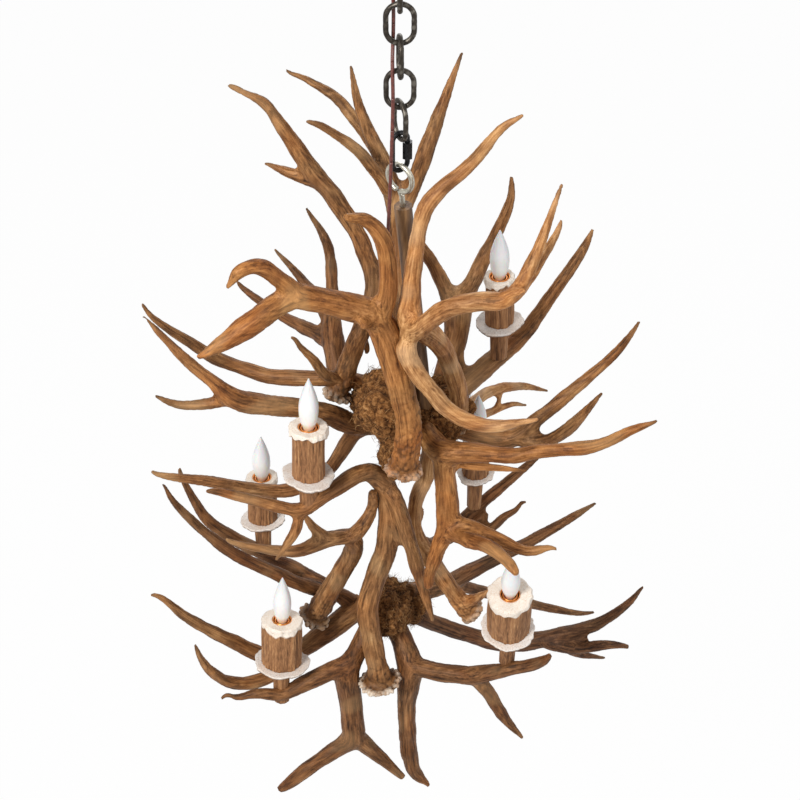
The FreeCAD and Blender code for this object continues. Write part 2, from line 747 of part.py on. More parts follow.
for name, stems in antlers.items():
    beam = stems[0]
    tines = [[(*tine[0][:3], tine[0][3] * tineRoot)] + tine[1:] for tine in stems[1:]]
    solids = [stemSolid(stations) for stations in [beam] + tines]
    if name in burrs:
        solids.append(burrSolid(beam, burrs[name]))
    whole = solids[0].multiFuse(solids[1:]) if len(solids) > 1 else solids[0]
    antler = doc.addObject("Part::Feature", "antler")
    antler.Shape = whole
    keep(place(antler, z=-drop), "antler_" + name)

# ---- filler packed round the antlers' feet ----

fillerLumps = {
    "filler_upper": [
        (-20, -38, -300, 38, 56, 34),
        (-22, 16, -340, 46, 54, 32),
        (52, 32, -376, 48, 54, 42),
        (-6, -14, -400, 24, 40, 42),
    ],
    "filler_lower": [
        (-20, -12, -700, 42, 62, 36),
        (18, 34, -740, 36, 42, 34),
    ],
}
for label, lumps in fillerLumps.items():
    balls = []
    for x, y, z, reachX, reachY, reachZ in lumps:
        ball = doc.addObject("Part::Ellipsoid", "lump")
        ball.Radius1 = reachZ
        ball.Radius2 = reachX
        ball.Radius3 = reachY
        ball.Angle1 = -90
        ball.Angle2 = 90
        ball.Angle3 = 360
        balls.append(place(ball, x, y, z))
    keep(place(fuse(balls), z=-drop), label)

# ---- candles ----
# seat: the middle of the drip pan's top face, from the hanging point
# lean: degrees towards the front, and to the right; rise: from the antler to the pan

candles = [
    {
        "seat": (127, 80, -264), "lean": 0, "right": -1.8, "rise": 50,
        "cover": 18, "rim": 19.5, "pan": 30, "phase": 0.4,
    },
    {
        "seat": (-114, -88, -376), "lean": -8, "right": 1.8, "rise": 44,
        "cover": 20.5, "rim": 25.5, "pan": 34, "phase": 1.9,
    },
    {
        "seat": (-194, 70, -604), "lean": -6, "right": 1.5, "rise": 58,
        "cover": 21, "rim": 22.5, "pan": 31, "phase": 3.1,
    },
    {
        "seat": (-164, -92, -724), "lean": -12, "right": 2.5, "rise": 60,
        "cover": 28, "rim": 28.5, "pan": 38, "phase": 4.6,
    },
    {
        "seat": (145, -112, -630), "lean": 6, "right": -1, "rise": 74,
        "cover": 30, "rim": 31, "pan": 38, "phase": 5.5,
    },
    {
        "seat": (107, 114, -556), "lean": 0, "right": 0, "rise": 60,
        "cover": 20, "rim": 23, "pan": 28, "phase": 2.6,
    },
]


def waveWire(radius, height, waves, phase):
    """A closed wavy outline: waves is a list of (count, share of the radius)."""
    points = []
    steps = 48
    for i in range(steps):
        angle = 2 * math.pi * i / steps
        reach = radius * (1 + sum(share * math.sin(n * angle + phase * n) for n, share in waves))
        points.append(Vector(reach * math.cos(angle), reach * math.sin(angle), height))
    outline = Part.BSplineCurve()
    outline.interpolate(points, PeriodicFlag=True)
    return Part.Wire(outline.toShape())


barkWaves = ((2, 0.025), (5, 0.012), (9, 0.01))
rimWaves = ((2, 0.03), (7, 0.02), (11, 0.015))
panWaves = ((2, 0.05), (3, 0.035), (7, 0.02))


def coverSolid(candle):
    """A length of antler bored through, with its burr left on as the rim."""
    high = size("cover_high").value
    rimHigh = size("rim_high").value
    phase = candle["phase"]
    bark = Part.makeLoft([
        waveWire(candle["cover"] * 0.97, 0, barkWaves, phase),
        waveWire(candle["cover"], high * 0.5, barkWaves, phase),
        waveWire(candle["cover"] * 0.98, high - rimHigh * 0.5, barkWaves, phase),
    ], True, False)
    rim = Part.makeLoft([
        waveWire(candle["rim"] * 0.95, high - rimHigh, rimWaves, phase),
        waveWire(candle["rim"], high - rimHigh * 0.5, rimWaves, phase),
        waveWire(candle["rim"] * 0.97, high, rimWaves, phase),
    ], True, False)
    bore = Part.makeCylinder(size("cover_bore").value / 2, high + 2, Vector(0, 0, -1))
    return bark.fuse(rim).cut(bore)


def panSolid(candle):
    """A slice of antler, bark below and cut face above, bored for the nipple."""
    thick = size("pan_thick").value
    phase = candle["phase"]
    slab = Part.makeLoft([
        waveWire(candle["pan"] * 0.8, -thick, panWaves, phase),
        waveWire(candle["pan"] * 0.96, -thick * 0.5, panWaves, phase),
        waveWire(candle["pan"], 0, panWaves, phase),
    ], True, False)
    boreWide = size("nipple_thick").value + 2 * size("bore_gap").value
    return slab.cut(Part.makeCylinder(boreWide / 2, thick + 2, Vector(0, 0, -thick - 1)))


def bulbSolid():
    """Candelabra bulb: screw base in the socket, neck, belly and drawn-out tip."""
    top = size("cover_high").value
    base = size("bulb_base_wide").value / 2
    neck = size("bulb_neck_wide").value / 2
    belly = size("bulb_wide").value / 2
    tip = size("bulb_tip_wide").value / 2
    out = size("bulb_out").value
    foot = top - size("bulb_base_long").value
    neckStart = top - size("socket_ring_drop").value
    bellyAt = top + size("bulb_belly").value
    glass = Part.BSplineCurve()
    glass.interpolate([
        Vector(neck, 0, neckStart + 1),
        Vector(neck + (belly - neck) * 0.62, 0, top + (bellyAt - top) * 0.45),
        Vector(belly, 0, bellyAt),
        Vector(belly * 0.83, 0, top + out * 0.52),
        Vector(belly * 0.42, 0, top + out * 0.76),
        Vector(tip, 0, top + out),
    ])
    corners = [
        Vector(tip, 0, top + out),
        Vector(0, 0, top + out + tip * 0.6),
        Vector(0, 0, foot),
        Vector(base * 0.5, 0, foot),
        Vector(base, 0, foot + 3),
        Vector(base, 0, neckStart),
        Vector(neck, 0, neckStart + 1),
    ]
    sides = [Part.LineSegment(a, b).toShape() for a, b in zip(corners, corners[1:])]
    profile = Part.Wire(Part.__sortEdges__([glass.toShape()] + sides))
    return Part.Face(profile).revolve(Vector(0, 0, 0), upward, 360)


coverHigh = size("cover_high")
socketTop = coverHigh - size("socket_ring_drop")
socketCorners = [
    (nippleThick / 2 + threadGap, 0),
    (size("socket_wide") / 2 - 2, 0),
    (size("socket_wide") / 2, 3),
    (size("socket_wide") / 2, socketTop - size("socket_ring_high")),
    (size("cover_bore") / 2 - boreGap, socketTop - size("socket_ring_high")),
    (size("cover_bore") / 2 - boreGap, socketTop),
    (size("socket_ring_inner") / 2, socketTop),
    (size("shell_bore") / 2 + 2, socketTop - 2),
    (size("shell_bore") / 2, socketTop - 2),
    (size("shell_bore") / 2, coverHigh - size("shell_deep")),
    (0, coverHigh - size("shell_deep")),
    (0, size("socket_floor")),
    (nippleThick / 2 + threadGap, size("socket_floor")),
]
pans = []
sockets = []
nipples = []
stubs = []
for number, candle in enumerate(candles, start=1):
    lean = math.radians(candle["lean"])
    right = math.radians(candle["right"])
    axis = Vector(math.sin(right), -math.sin(lean), 1).normalize()
    tilt = Rotation(upward, axis)
    seatX, seatY, seatZ = candle["seat"]
    seat = FreeCAD.Placement(Vector(seatX, seatY, seatZ - drop.value), tilt)
    cover = doc.addObject("Part::Feature", "cover")
    cover.Shape = coverSolid(candle)
    keep(place(cover, seatX, seatY, asAmount(seatZ) - drop, tilt), "candle_cover_%d" % number)
    pan = panSolid(candle)
    pan.Placement = seat
    pans.append(pan)
    bulb = doc.addObject("Part::Feature", "bulb")
    bulb.Shape = bulbSolid()
    keep(place(bulb, seatX, seatY, asAmount(seatZ) - drop, tilt), "candle_bulb_%d" % number)
    socket = turnedBody("socket_%d" % number, socketCorners)
    sockets.append(place(socket, seatX, seatY, asAmount(seatZ) - drop, tilt))
    rise = candle["rise"]
    stub = doc.addObject("Part::Cone", "stub")
    bind(stub, Radius1=(size("stub_wide") - size("stub_taper")) / 2, Radius2=size("stub_wide") / 2)
    bind(stub, Height=asAmount(rise))
    stubFoot = axis * (-rise - size("pan_thick").value)
    nippleLong = asAmount(rise * 0.5) + size("pan_thick") + size("candle_nipple_in")
    rod = cylinder(nippleThick, nippleLong)
    hole = cylinder(nippleThick + boreGap * 2, rise)
    hole.Placement = FreeCAD.Placement(Vector(0, 0, rise * 0.5), Rotation())
    peg = cut(stub, hole)
    place(peg, seatX + stubFoot.x, seatY + stubFoot.y, asAmount(seatZ + stubFoot.z) - drop, tilt)
    rodFoot = axis * (size("candle_nipple_in").value - nippleLong.value)
    place(rod, seatX + rodFoot.x, seatY + rodFoot.y, asAmount(seatZ + rodFoot.z) - drop, tilt)
    stubs.append(peg)
    nipples.append(rod)

pansNode = doc.addObject("Part::Feature", "pans")
pansNode.Shape = Part.makeCompound(pans)
keep(pansNode, "candle_pans")
for label, group in (("candle_sockets", sockets), ("candle_stubs", stubs), ("candle_nipples", nipples)):
    together = doc.addObject("Part::Compound", "together")
    together.Links = group
    keep(together, label)

# ---- supply cord, woven down the chain and into the top antler ----
# The route's heights are measured from the hanging point.

cordRoute = [
    (-18.54, 9.86, 326),
    (-18.5, 9.9, 308),
    (-14, 11.5, 286),
    (-9.5, 12.5, 262),
    (-8, 11, 234),
    (-6.8, 8.8, 206),
    (-7, 8, 184),
    (-7.6, 5.6, 164),
    (-8.2, -2, 150),
    (-8, -8.4, 134),
    (-7.5, -11, 112),
    (-8, -13, 86),
    (-9, -15, 52),
    (-10.5, -17, 14),
    (-12, -22, -22),
    (-14, -34, -56),
    (-16, -47, -88),
    (-18, -59, -118),
]


def cordSolid(route, thick):
    """A round cord of straight runs joined by tangent arcs. Prints the arcs' radii."""
    points = [Vector(*p) for p in route]
    edges = []
    at = points[0]
    radii = []
    for before, corner, after in zip(points, points[1:], points[2:]):
        back = (before - corner)
        ahead = (after - corner)
        shorter = min(back.Length, ahead.Length)
        turn = math.pi - back.getAngle(ahead)
        radius = 0.45 * shorter / math.tan(turn / 2)
        radii.append(round(radius, 1))
        back = back.normalize()
        ahead = ahead.normalize()
        start = corner + back * 0.45 * shorter
        end = corner + ahead * 0.45 * shorter
        inward = (back + ahead).normalize()
        centre = corner + inward * (radius / math.cos(turn / 2))
        middle = centre - inward * radius
        if (start - at).Length > 1e-6:
            edges.append(Part.LineSegment(at, start).toShape())
        edges.append(Part.Arc(start, middle, end).toShape())
        at = end
    edges.append(Part.LineSegment(at, points[-1]).toShape())
    spine = Part.Wire(edges)
    heading = (points[1] - points[0]).normalize()
    profile = Part.Wire(Part.Circle(points[0], heading, thick / 2).toShape())
    tube = spine.makePipeShell([profile], True, False)
    expected = math.pi * thick * thick / 4 * spine.Length
    print("cord length %.0f mm, arc radii %s" % (spine.Length, radii))
    print("cord volume over section times length: %.4f" % (tube.Volume / expected))
    return tube


cord = doc.addObject("Part::Feature", "cord")
cord.Shape = cordSolid(cordRoute, size("cord_thick").value)
keep(place(cord, z=-drop), "power_cord")

# ---- recompute, check and write ----

doc.recompute()
troubled = [o.Label for o in doc.Objects if "Invalid" in o.State or "Error" in o.State]
for part in subParts:
    shape = part.Shape
    if shape.isNull() or not shape.isValid() or not shape.Solids:
        troubled.append(part.Label + " shape")
if troubled:
    raise RuntimeError("failed: " + ", ".join(troubled))

os.makedirs("parts", exist_ok=True)
for part in subParts:
    part.Shape.exportStep("parts/%s.step" % part.Label)
print("%d nodes, drop %.1f mm" % (len(subParts), drop.value))
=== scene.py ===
import json
import math

import bmesh
import bpy
import numpy as np
from mathutils import Matrix, Quaternion, Vector
from mathutils.bvhtree import BVHTree
from mathutils.kdtree import KDTree


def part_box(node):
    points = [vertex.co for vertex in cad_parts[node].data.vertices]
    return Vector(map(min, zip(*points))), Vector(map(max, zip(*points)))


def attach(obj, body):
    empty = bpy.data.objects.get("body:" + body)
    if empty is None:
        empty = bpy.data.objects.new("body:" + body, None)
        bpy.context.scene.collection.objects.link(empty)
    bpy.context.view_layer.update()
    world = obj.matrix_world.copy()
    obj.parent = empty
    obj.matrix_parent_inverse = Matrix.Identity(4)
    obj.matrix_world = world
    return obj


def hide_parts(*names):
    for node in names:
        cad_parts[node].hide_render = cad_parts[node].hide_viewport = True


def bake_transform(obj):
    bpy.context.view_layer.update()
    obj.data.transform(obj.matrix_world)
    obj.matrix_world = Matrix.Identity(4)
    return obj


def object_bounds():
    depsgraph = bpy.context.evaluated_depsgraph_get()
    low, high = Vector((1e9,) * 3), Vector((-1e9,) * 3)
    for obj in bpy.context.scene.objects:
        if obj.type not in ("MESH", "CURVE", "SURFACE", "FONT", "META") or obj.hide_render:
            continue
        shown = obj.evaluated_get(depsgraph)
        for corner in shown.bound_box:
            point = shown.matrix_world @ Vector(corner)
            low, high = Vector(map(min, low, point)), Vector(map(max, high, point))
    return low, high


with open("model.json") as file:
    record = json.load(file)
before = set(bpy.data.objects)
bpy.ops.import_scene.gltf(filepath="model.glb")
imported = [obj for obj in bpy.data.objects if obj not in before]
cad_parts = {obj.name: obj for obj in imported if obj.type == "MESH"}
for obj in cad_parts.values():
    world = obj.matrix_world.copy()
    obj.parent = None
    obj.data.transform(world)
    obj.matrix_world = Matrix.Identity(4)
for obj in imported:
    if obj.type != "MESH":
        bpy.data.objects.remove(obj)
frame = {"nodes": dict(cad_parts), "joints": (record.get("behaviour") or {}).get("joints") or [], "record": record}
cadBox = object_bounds()
scene = bpy.context.scene
mm = 0.001
print("frame loaded,", len(frame["nodes"]), "nodes")


# camera: the photograph's place, looking down at the antlers
photoView = {
    "elevation": 40.0,
    "distance": 2.0,
    "targetHeight": -0.6757,  # on the hanging axis
    "lens": 70.875,
    "sensor": 36,
    "near": 0.05,
    "far": 50,
}


def makeCamera(view):
    tilt = math.radians(view["elevation"])
    data = bpy.data.cameras.new("photoCamera")
    data.sensor_width = view["sensor"]
    data.lens = view["lens"]
    data.clip_start = view["near"]
    data.clip_end = view["far"]
    camera = bpy.data.objects.new("photoCamera", data)
    along = view["distance"] * math.cos(tilt)
    camera.location = (0, -along, view["targetHeight"] + view["distance"] * math.sin(tilt))
    camera.rotation_euler = (math.pi / 2 - tilt, 0, 0)
    scene.collection.objects.link(camera)
    scene.camera = camera


makeCamera(photoView)

# the hanging point is the middle of the eye bolt's ring
ringWide = 40.5 * mm
hanging = Vector((0, 0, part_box("eye_bolt")[1].z - ringWide / 2))


def fromHanging(x, y, z):
    return Vector((x * mm, y * mm, z * mm)) + hanging


# mesh tools

def linked(name, mesh):
    thing = bpy.data.objects.new(name, mesh)
    scene.collection.objects.link(thing)
    return thing


def meshFrom(name, points, faces):
    mesh = bpy.data.meshes.new(name)
    mesh.from_pydata([tuple(p) for p in points], [], faces)
    mesh.validate()
    mesh.shade_smooth()
    return linked(name, mesh)


def copyOf(node, name):
    return linked(name, frame["nodes"][node].data.copy())


def applyModifiers(thing):
    graph = bpy.context.evaluated_depsgraph_get()
    mesh = bpy.data.meshes.new_from_object(thing.evaluated_get(graph))
    thing.modifiers.clear()
    thing.data = mesh
    mesh.shade_smooth()
    return thing


def voxels(thing, step):
    change = thing.modifiers.new("voxels", "REMESH")
    change.mode = "VOXEL"
    change.voxel_size = step
    return applyModifiers(thing)


def column(items, key, width):
    flat = np.empty(len(items) * width, np.float32)
    items.foreach_get(key, flat)
    return flat.reshape(-1, width).astype(float)


def pointsOf(mesh):
    return column(mesh.vertices, "co", 3)


def normalsOf(mesh):
    return column(mesh.vertices, "normal", 3)


def edgesOf(mesh):
    flat = np.empty(len(mesh.edges) * 2, np.int32)
    mesh.edges.foreach_get("vertices", flat)
    return flat.reshape(-1, 2)


def setPoints(mesh, points):
    mesh.vertices.foreach_set("co", points.astype(np.float32).ravel())
    mesh.update()


def setFlow(mesh, name, values):
    layer = mesh.attributes.new(name, "FLOAT_VECTOR", "POINT")
    layer.data.foreach_set("vector", np.asarray(values, np.float32).ravel())


def setMask(mesh, name, values):
    layer = mesh.attributes.get(name) or mesh.attributes.new(name, "FLOAT", "POINT")
    layer.data.foreach_set("value", np.asarray(values, np.float32))


def spread(values, edges, weight, passes):
    # averages values along the edges; a heavier edge passes more on
    count = len(values)
    a = edges[:, 0]
    b = edges[:, 1]
    share = np.bincount(a, weight, count) + np.bincount(b, weight, count)
    flat = values.reshape(count, -1).astype(float)
    for _ in range(passes):
        for k in range(flat.shape[1]):
            one = flat[:, k]
            total = np.bincount(a, weight * one[b], count) + np.bincount(b, weight * one[a], count)
            flat[:, k] = (one + total) / (1 + share)
    return flat.reshape(values.shape)


def soften(mesh, weight, passes):
    edges = edgesOf(mesh)
    setPoints(mesh, spread(pointsOf(mesh), edges, np.full(len(edges), weight), passes))


def ripples(points, size, seed, waves=7):
    # smooth rolling noise, about -1 to 1, whose bumps are size across
    rng = np.random.default_rng(seed)
    total = np.zeros(len(points))
    for _ in range(waves):
        heading = rng.normal(size=3)
        heading /= np.linalg.norm(heading)
        beat = 2 * math.pi * rng.uniform(0.7, 1.6) / size
        total += np.sin(points @ heading * beat + rng.uniform(0, 7))
    return total / math.sqrt(waves)


def eased(low, high, values):
    share = np.clip((np.asarray(values, float) - low) / (high - low), 0, 1)
    return share * share * (3 - 2 * share)


knobReach = 0.62  # a knob's radius, as a share of the spacing


def knobs(points, chosen, spacing, seed):
    # rounded knobs about spacing apart on the chosen points; 0 between them, 1 on top
    rng = np.random.default_rng(seed)
    where = np.flatnonzero(chosen)
    height = np.zeros(len(points))
    cells = set()
    kept = []
    for i in rng.permutation(where):
        cell = tuple((points[i] / spacing).astype(int))
        if cell not in cells:
            cells.add(cell)
            kept.append(i)
    tree = KDTree(len(kept))
    for k, i in enumerate(kept):
        tree.insert(points[i], k)
    tree.balance()
    for i in where:
        apart = tree.find(points[i])[2] / spacing
        height[i] = max(0.0, 1 - (apart / knobReach) ** 2)
    return height


def ringFaces(rings, sides, closed=False):
    # quads between rings of points, each with the same count; an open row of rings gets two caps
    faces = []
    for i in range(rings if closed else rings - 1):
        after = (i + 1) % rings
        for j in range(sides):
            k = (j + 1) % sides
            faces.append((i * sides + j, i * sides + k, after * sides + k, after * sides + j))
    if not closed:
        faces.append(tuple(range(sides))[::-1])
        faces.append(tuple((rings - 1) * sides + j for j in range(sides)))
    return faces


def sweep(name, path, radii, sides, finish, closed=False):
    # a round bar along a list of points, with a frame that turns as little as it can
    path = [Vector(p) for p in path]
    count = len(path)
    points = []
    side = None
    for i, centre in enumerate(path):
        ahead = path[(i + 1) % count] if closed or i < count - 1 else centre
        behind = path[i - 1] if closed or i > 0 else centre
        heading = (ahead - behind).normalized()
        if side is None:
            side = heading.orthogonal().normalized()
        side = (side - heading * side.dot(heading)).normalized()
        other = heading.cross(side)
        for j in range(sides):
            turn = 2 * math.pi * j / sides
            points.append(centre + (side * math.cos(turn) + other * math.sin(turn)) * radii[i])
    thing = meshFrom(name, points, ringFaces(count, sides, closed))
    thing.data.materials.append(finish)
    return thing


def paint(node, finish):
    # a solid that keeps its own shape gets a better finish
    for held in frame["nodes"][node].material_slots:
        held.material = finish


def finishPiece(thing, body, slotName, *nodes):
    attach(thing, body)
    if nodes:
        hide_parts(*nodes)
    return thing


# materials

def srgb(red, green, blue):
    # a colour as it is seen, 0 to 255, in the linear values that shaders take
    made = []
    for part in (red, green, blue):
        part /= 255
        made.append(part / 12.92 if part <= 0.04045 else ((part + 0.055) / 1.055) ** 2.4)
    return (*made, 1.0)


def addNode(tree, kind, inputs=None, **values):
    # inputs: a value or another node's output for each socket, by its name or its place
    node = tree.nodes.new("ShaderNode" + kind)
    for key, value in values.items():
        setattr(node, key, value)
    for key, value in (inputs or {}).items():
        if isinstance(value, bpy.types.NodeSocket):
            tree.links.new(value, node.inputs[key])
        else:
            node.inputs[key].default_value = value
    return node


class Shader:
    def __init__(self, name, **sockets):
        self.material = bpy.data.materials.new(name)
        self.material.use_nodes = True
        self.tree = self.material.node_tree
        self.surface = self.tree.nodes["Principled BSDF"]
        for key, value in sockets.items():
            self.surface.inputs[key.replace("_", " ")].default_value = value
        self.place = self.add("TexCoord").outputs["Object"]

    def add(self, kind, inputs=None, **values):
        return addNode(self.tree, kind, inputs, **values)

    def feed(self, source, socket):
        self.tree.links.new(source, self.surface.inputs[socket])

    def noise(self, scale, detail=3.0, rough=0.55, warp=0.0, stretch=None, place=None):
        where = place or self.place
        if stretch:
            where = self.add("Mapping", {"Scale": stretch, "Vector": where}).outputs["Vector"]
        grain = {"Scale": scale, "Detail": detail, "Roughness": rough, "Distortion": warp}
        return self.add("TexNoise", {**grain, "Vector": where}).outputs["Fac"]

    def mask(self, name):
        return self.add("Attribute", attribute_name=name).outputs["Fac"]

    def flow(self, name):
        return self.add("Attribute", attribute_name=name).outputs["Vector"]

    def ramp(self, source, stops):
        node = self.add("ValToRGB", {"Fac": source})
        band = node.color_ramp
        while len(band.elements) < len(stops):
            band.elements.new(0.5)
        for element, (at, colour) in zip(band.elements, stops):
            element.position = at
            element.color = colour
        return node.outputs["Color"]

    def tones(self, source, *stops):
        # stops: place on the scale, red, green, blue
        return self.ramp(source, [(at, srgb(*tone)) for at, *tone in stops])

    def maths(self, kind, *terms):
        return self.add("Math", dict(enumerate(terms)), operation=kind).outputs["Value"]

    def weighed(self, *parts):
        # parts: source and its share in the sum
        first, share = parts[0]
        total = self.maths("MULTIPLY", first, share)
        for source, share in parts[1:]:
            total = self.maths("MULTIPLY_ADD", source, share, total)
        return total

    def blend(self, share, first, second, kind="MIX"):
        # this node has its colours at places 6 and 7 and the mixed one at 2
        node = self.add("Mix", {0: share, 6: first, 7: second}, data_type="RGBA", blend_type=kind)
        return node.outputs[2]

    def span(self, source, low, high):
        # 0 to 1 stretched over low to high
        return self.add("MapRange", {"Value": source, "To Min": low, "To Max": high}).outputs["Result"]

    def colour(self, source):
        self.feed(source, "Base Color")

    def rough(self, source):
        self.feed(source, "Roughness")

    def bump(self, source, depth, strength=1.0):
        node = self.add("Bump", {"Height": source, "Distance": depth, "Strength": strength})
        self.feed(node.outputs["Normal"], "Normal")


# antler tones: groove, body, ridge and worn colour, as each antler shows them
antlerTones = {
    "warm": ((80, 50, 25), (146, 102, 58), (186, 137, 84), (214, 170, 116)),
    "brown": ((68, 46, 27), (130, 95, 60), (172, 131, 87), (200, 162, 116)),
    "tan": ((100, 69, 41), (168, 124, 79), (210, 167, 116), (234, 198, 154)),
    "dark": ((48, 31, 18), (104, 74, 46), (144, 106, 70), (174, 138, 98)),
    "umber": ((36, 23, 14), (86, 59, 38), (128, 92, 62), (158, 124, 90)),
}
antlerStops = (0.15, 0.42, 0.7, 0.98)  # where those four lie on the grain's scale
antlerGrain = {"speck": 0.14, "fibres": 0.30, "bands": 0.24, "groove": 0.32}  # shares in the tone
barkGrain = {"speck": 0.12, "fibres": 0.42, "groove": 0.46}


def antlerMaterial(tone):
    colours = [srgb(*colour) for colour in antlerTones[tone]]
    groove, worn = colours[0], colours[-1]
    shader = Shader("antler_" + tone, Specular_IOR_Level=0.2)
    grain = shader.flow("grain")  # runs slowly along the stem, so noise is drawn out there
    layers = {
        "speck": shader.span(shader.noise(640, 3, 0.6), -0.4, 1.4),
        "fibres": shader.span(shader.noise(520, 2, 0.5, place=grain), -0.9, 1.9),
        "bands": shader.span(shader.noise(210, 2, 0.5, place=grain), -0.9, 1.9),
        "groove": shader.mask("groove"),
    }
    level = shader.weighed(*[(layers[name], share) for name, share in antlerGrain.items()])
    base = shader.ramp(level, list(zip(antlerStops, colours)))
    golden = shader.span(shader.noise(13, 3, 0.5, 0.6), -0.5, 1.3)
    warm = shader.blend(golden, base, srgb(255, 218, 178), "MULTIPLY")
    greyed = shader.span(shader.noise(26, 4, 0.6, 0.8), -1.0, 2.0)
    cool = shader.blend(greyed, warm, srgb(206, 196, 192), "MULTIPLY")
    rubbed = shader.blend(shader.maths("MULTIPLY", shader.mask("worn"), 0.4), cool, worn)
    stained = shader.blend(shader.mask("stain"), rubbed, groove)
    cut = shader.tones(shader.noise(300, 4, 0.7), (0.32, 188, 154, 116), (0.6, 232, 222, 208))
    shader.colour(shader.blend(shader.mask("bone"), stained, cut))
    shader.rough(shader.span(level, 0.68, 0.44))
    shader.bump(layers["fibres"], 0.0003, 0.6)
    return shader.material


def barkMaterial():
    # the candles' covers: coarse, dark grooved antler with a sawn white top
    shader = Shader("candleBark", Specular_IOR_Level=0.35)
    layers = {
        "speck": shader.noise(640, 3, 0.6),
        "fibres": shader.span(shader.noise(560, 3, 0.6, stretch=(1, 1, 0.1)), -0.9, 1.9),
        "groove": shader.mask("groove"),
    }
    level = shader.weighed(*[(layers[name], share) for name, share in barkGrain.items()])
    grooved = shader.tones(
        level, (0.06, 60, 37, 22), (0.4, 126, 86, 54), (0.68, 162, 116, 76), (0.96, 196, 152, 106),
    )
    pores = shader.noise(520, 5, 0.75)
    sawn = shader.tones(pores, (0.3, 214, 186, 158), (0.46, 236, 224, 210), (0.66, 243, 237, 229))
    shader.colour(shader.blend(shader.mask("bone"), grooved, sawn))
    shader.rough(shader.span(level, 0.8, 0.56))
    shader.bump(layers["fibres"], 0.0005, 0.7)
    return shader.material


def boneMaterial():
    # sawn slices: chalky white with fine pores and a warmer middle, bark under the edge
    shader = Shader("cutBone", Roughness=0.72, Specular_IOR_Level=0.3)
    pores = shader.noise(460, 5, 0.75)
    white = shader.tones(pores, (0.3, 190, 172, 158), (0.47, 226, 220, 214), (0.7, 240, 238, 236))
    cloudy = shader.span(shader.noise(55, 3, 0.5), -0.5, 0.8)
    warm = shader.blend(cloudy, white, srgb(250, 228, 206), "MULTIPLY")
    under = shader.tones(shader.noise(150, 4, 0.65), (0.3, 58, 36, 20), (0.7, 140, 98, 60))
    shader.colour(shader.blend(shader.mask("bark"), warm, under))
    shader.bump(pores, 0.0005, 0.7)
    return shader.material


def glassMaterial():
    # frosted white bulb glass, with a painted warm reflection of the copper socket at the neck, and greyer at the
    # tip
    shader = Shader(
        "frostedGlass", Roughness=0.34, Coat_Weight=0.35, Coat_Roughness=0.16,
        Subsurface_Weight=0.35, Subsurface_Scale=0.004,
    )
    tone = shader.tones(
        shader.mask("along"),
        (0.0, 242, 206, 170), (0.12, 240, 236, 230), (0.5, 238, 239, 240), (1.0, 214, 217, 220),
    )
    cloudy = shader.span(shader.noise(120, 3, 0.5), 0.0, 0.5)
    shader.colour(shader.blend(cloudy, tone, srgb(226, 229, 232), "MULTIPLY"))
    shader.bump(shader.noise(700, 3), 0.0001, 0.3)
    return shader.material


def mossMaterial():
    shader = Shader("mossyFiller", Roughness=0.92, Specular_IOR_Level=0.2)
    fine = shader.noise(240, 6, 0.75, 0.5)
    # the tops of clumps and crumbs (the high mask) are painted lighter as a painted highlight, and the pits
    # between them near black as painted shade; the fine noise gives the moss its own mottling
    level = shader.maths("MULTIPLY_ADD", shader.mask("high"), 0.42, shader.span(fine, -0.55, 1.05))
    tone = shader.tones(
        level, (0.06, 26, 14, 6), (0.34, 84, 53, 27), (0.58, 138, 95, 54), (0.85, 190, 145, 96),
    )
    broad = shader.span(shader.noise(40, 3), -0.3, 0.9)
    shader.colour(shader.blend(broad, tone, srgb(206, 182, 146), "MULTIPLY"))
    shader.bump(fine, 0.002, 0.8)
    return shader.material


# finishes whose one fine grain gives the tone and the gloss; dents, or else the grain, give the relief
plainFinishes = {
    "chainIron": {  # dark oiled, paler where links rub
        "grain": (260, 5, 0.7), "dents": (120, 4, 0.6), "gloss": (0.3, 0.56), "relief": (0.0006, 0.6),
        "stops": ((0.28, 34, 30, 26), (0.55, 60, 54, 47), (0.8, 90, 84, 75)),
        "over": ("worn", (128, 123, 114)), "Metallic": 0.75,
    },
    "canopyBronze": {  # canopy, loop and collar: dark and oil-rubbed, with browner high spots
        "grain": (90, 5, 0.6), "dents": (400, 3), "gloss": (0.34, 0.52), "relief": (0.0002, 0.4),
        "stops": ((0.3, 40, 33, 28), (0.6, 72, 60, 49), (0.85, 112, 92, 70)), "Metallic": 0.7,
    },
    "socketCopper": {  # two rings with a dark gap between them
        "grain": (300, 4, 0.6), "gloss": (0.25, 0.42), "relief": (0.0002, 0.3), "Metallic": 0.7,
        "stops": ((0.3, 196, 120, 58), (0.7, 236, 164, 92)), "over": ("gap", (22, 14, 9)),
    },
    "blackSteel": {
        "grain": (340, 4, 0.6), "gloss": (0.22, 0.42), "relief": (0.0002, 0.4), "Metallic": 0.6,
        "stops": ((0.3, 16, 16, 17), (0.75, 44, 44, 46)),
    },
    "zincSteel": {
        "grain": (180, 5, 0.65), "gloss": (0.24, 0.46), "relief": (0.0003, 0.4), "Metallic": 0.9,
        "stops": ((0.25, 148, 142, 126), (0.6, 198, 195, 182), (0.9, 226, 224, 214)),
    },
    "mossyFibre": {
        "grain": (90, 3), "Roughness": 0.85, "Specular_IOR_Level": 0.25,
        "stops": ((0.34, 78, 50, 26), (0.5, 132, 92, 54), (0.66, 188, 146, 98)),
    },
    "cordJacket": {
        "grain": (300, 3), "gloss": (0.34, 0.5), "stops": ((0.3, 70, 30, 26), (0.7, 112, 58, 48)),
    },
    "bushingRubber": {
        "grain": (300, 3), "relief": (0.0002, 0.3), "Roughness": 0.6,
        "stops": ((0.3, 20, 20, 20), (0.7, 40, 39, 38)),
    },
    "postBone": {
        "grain": (180, 4, 0.6, 0.3, (1, 1, 0.12)), "gloss": (0.6, 0.42), "relief": (0.0005, 0.6),
        "stops": ((0.3, 62, 42, 26), (0.5, 102, 73, 46), (0.75, 144, 109, 72)),
        "Specular_IOR_Level": 0.4,
    },
}


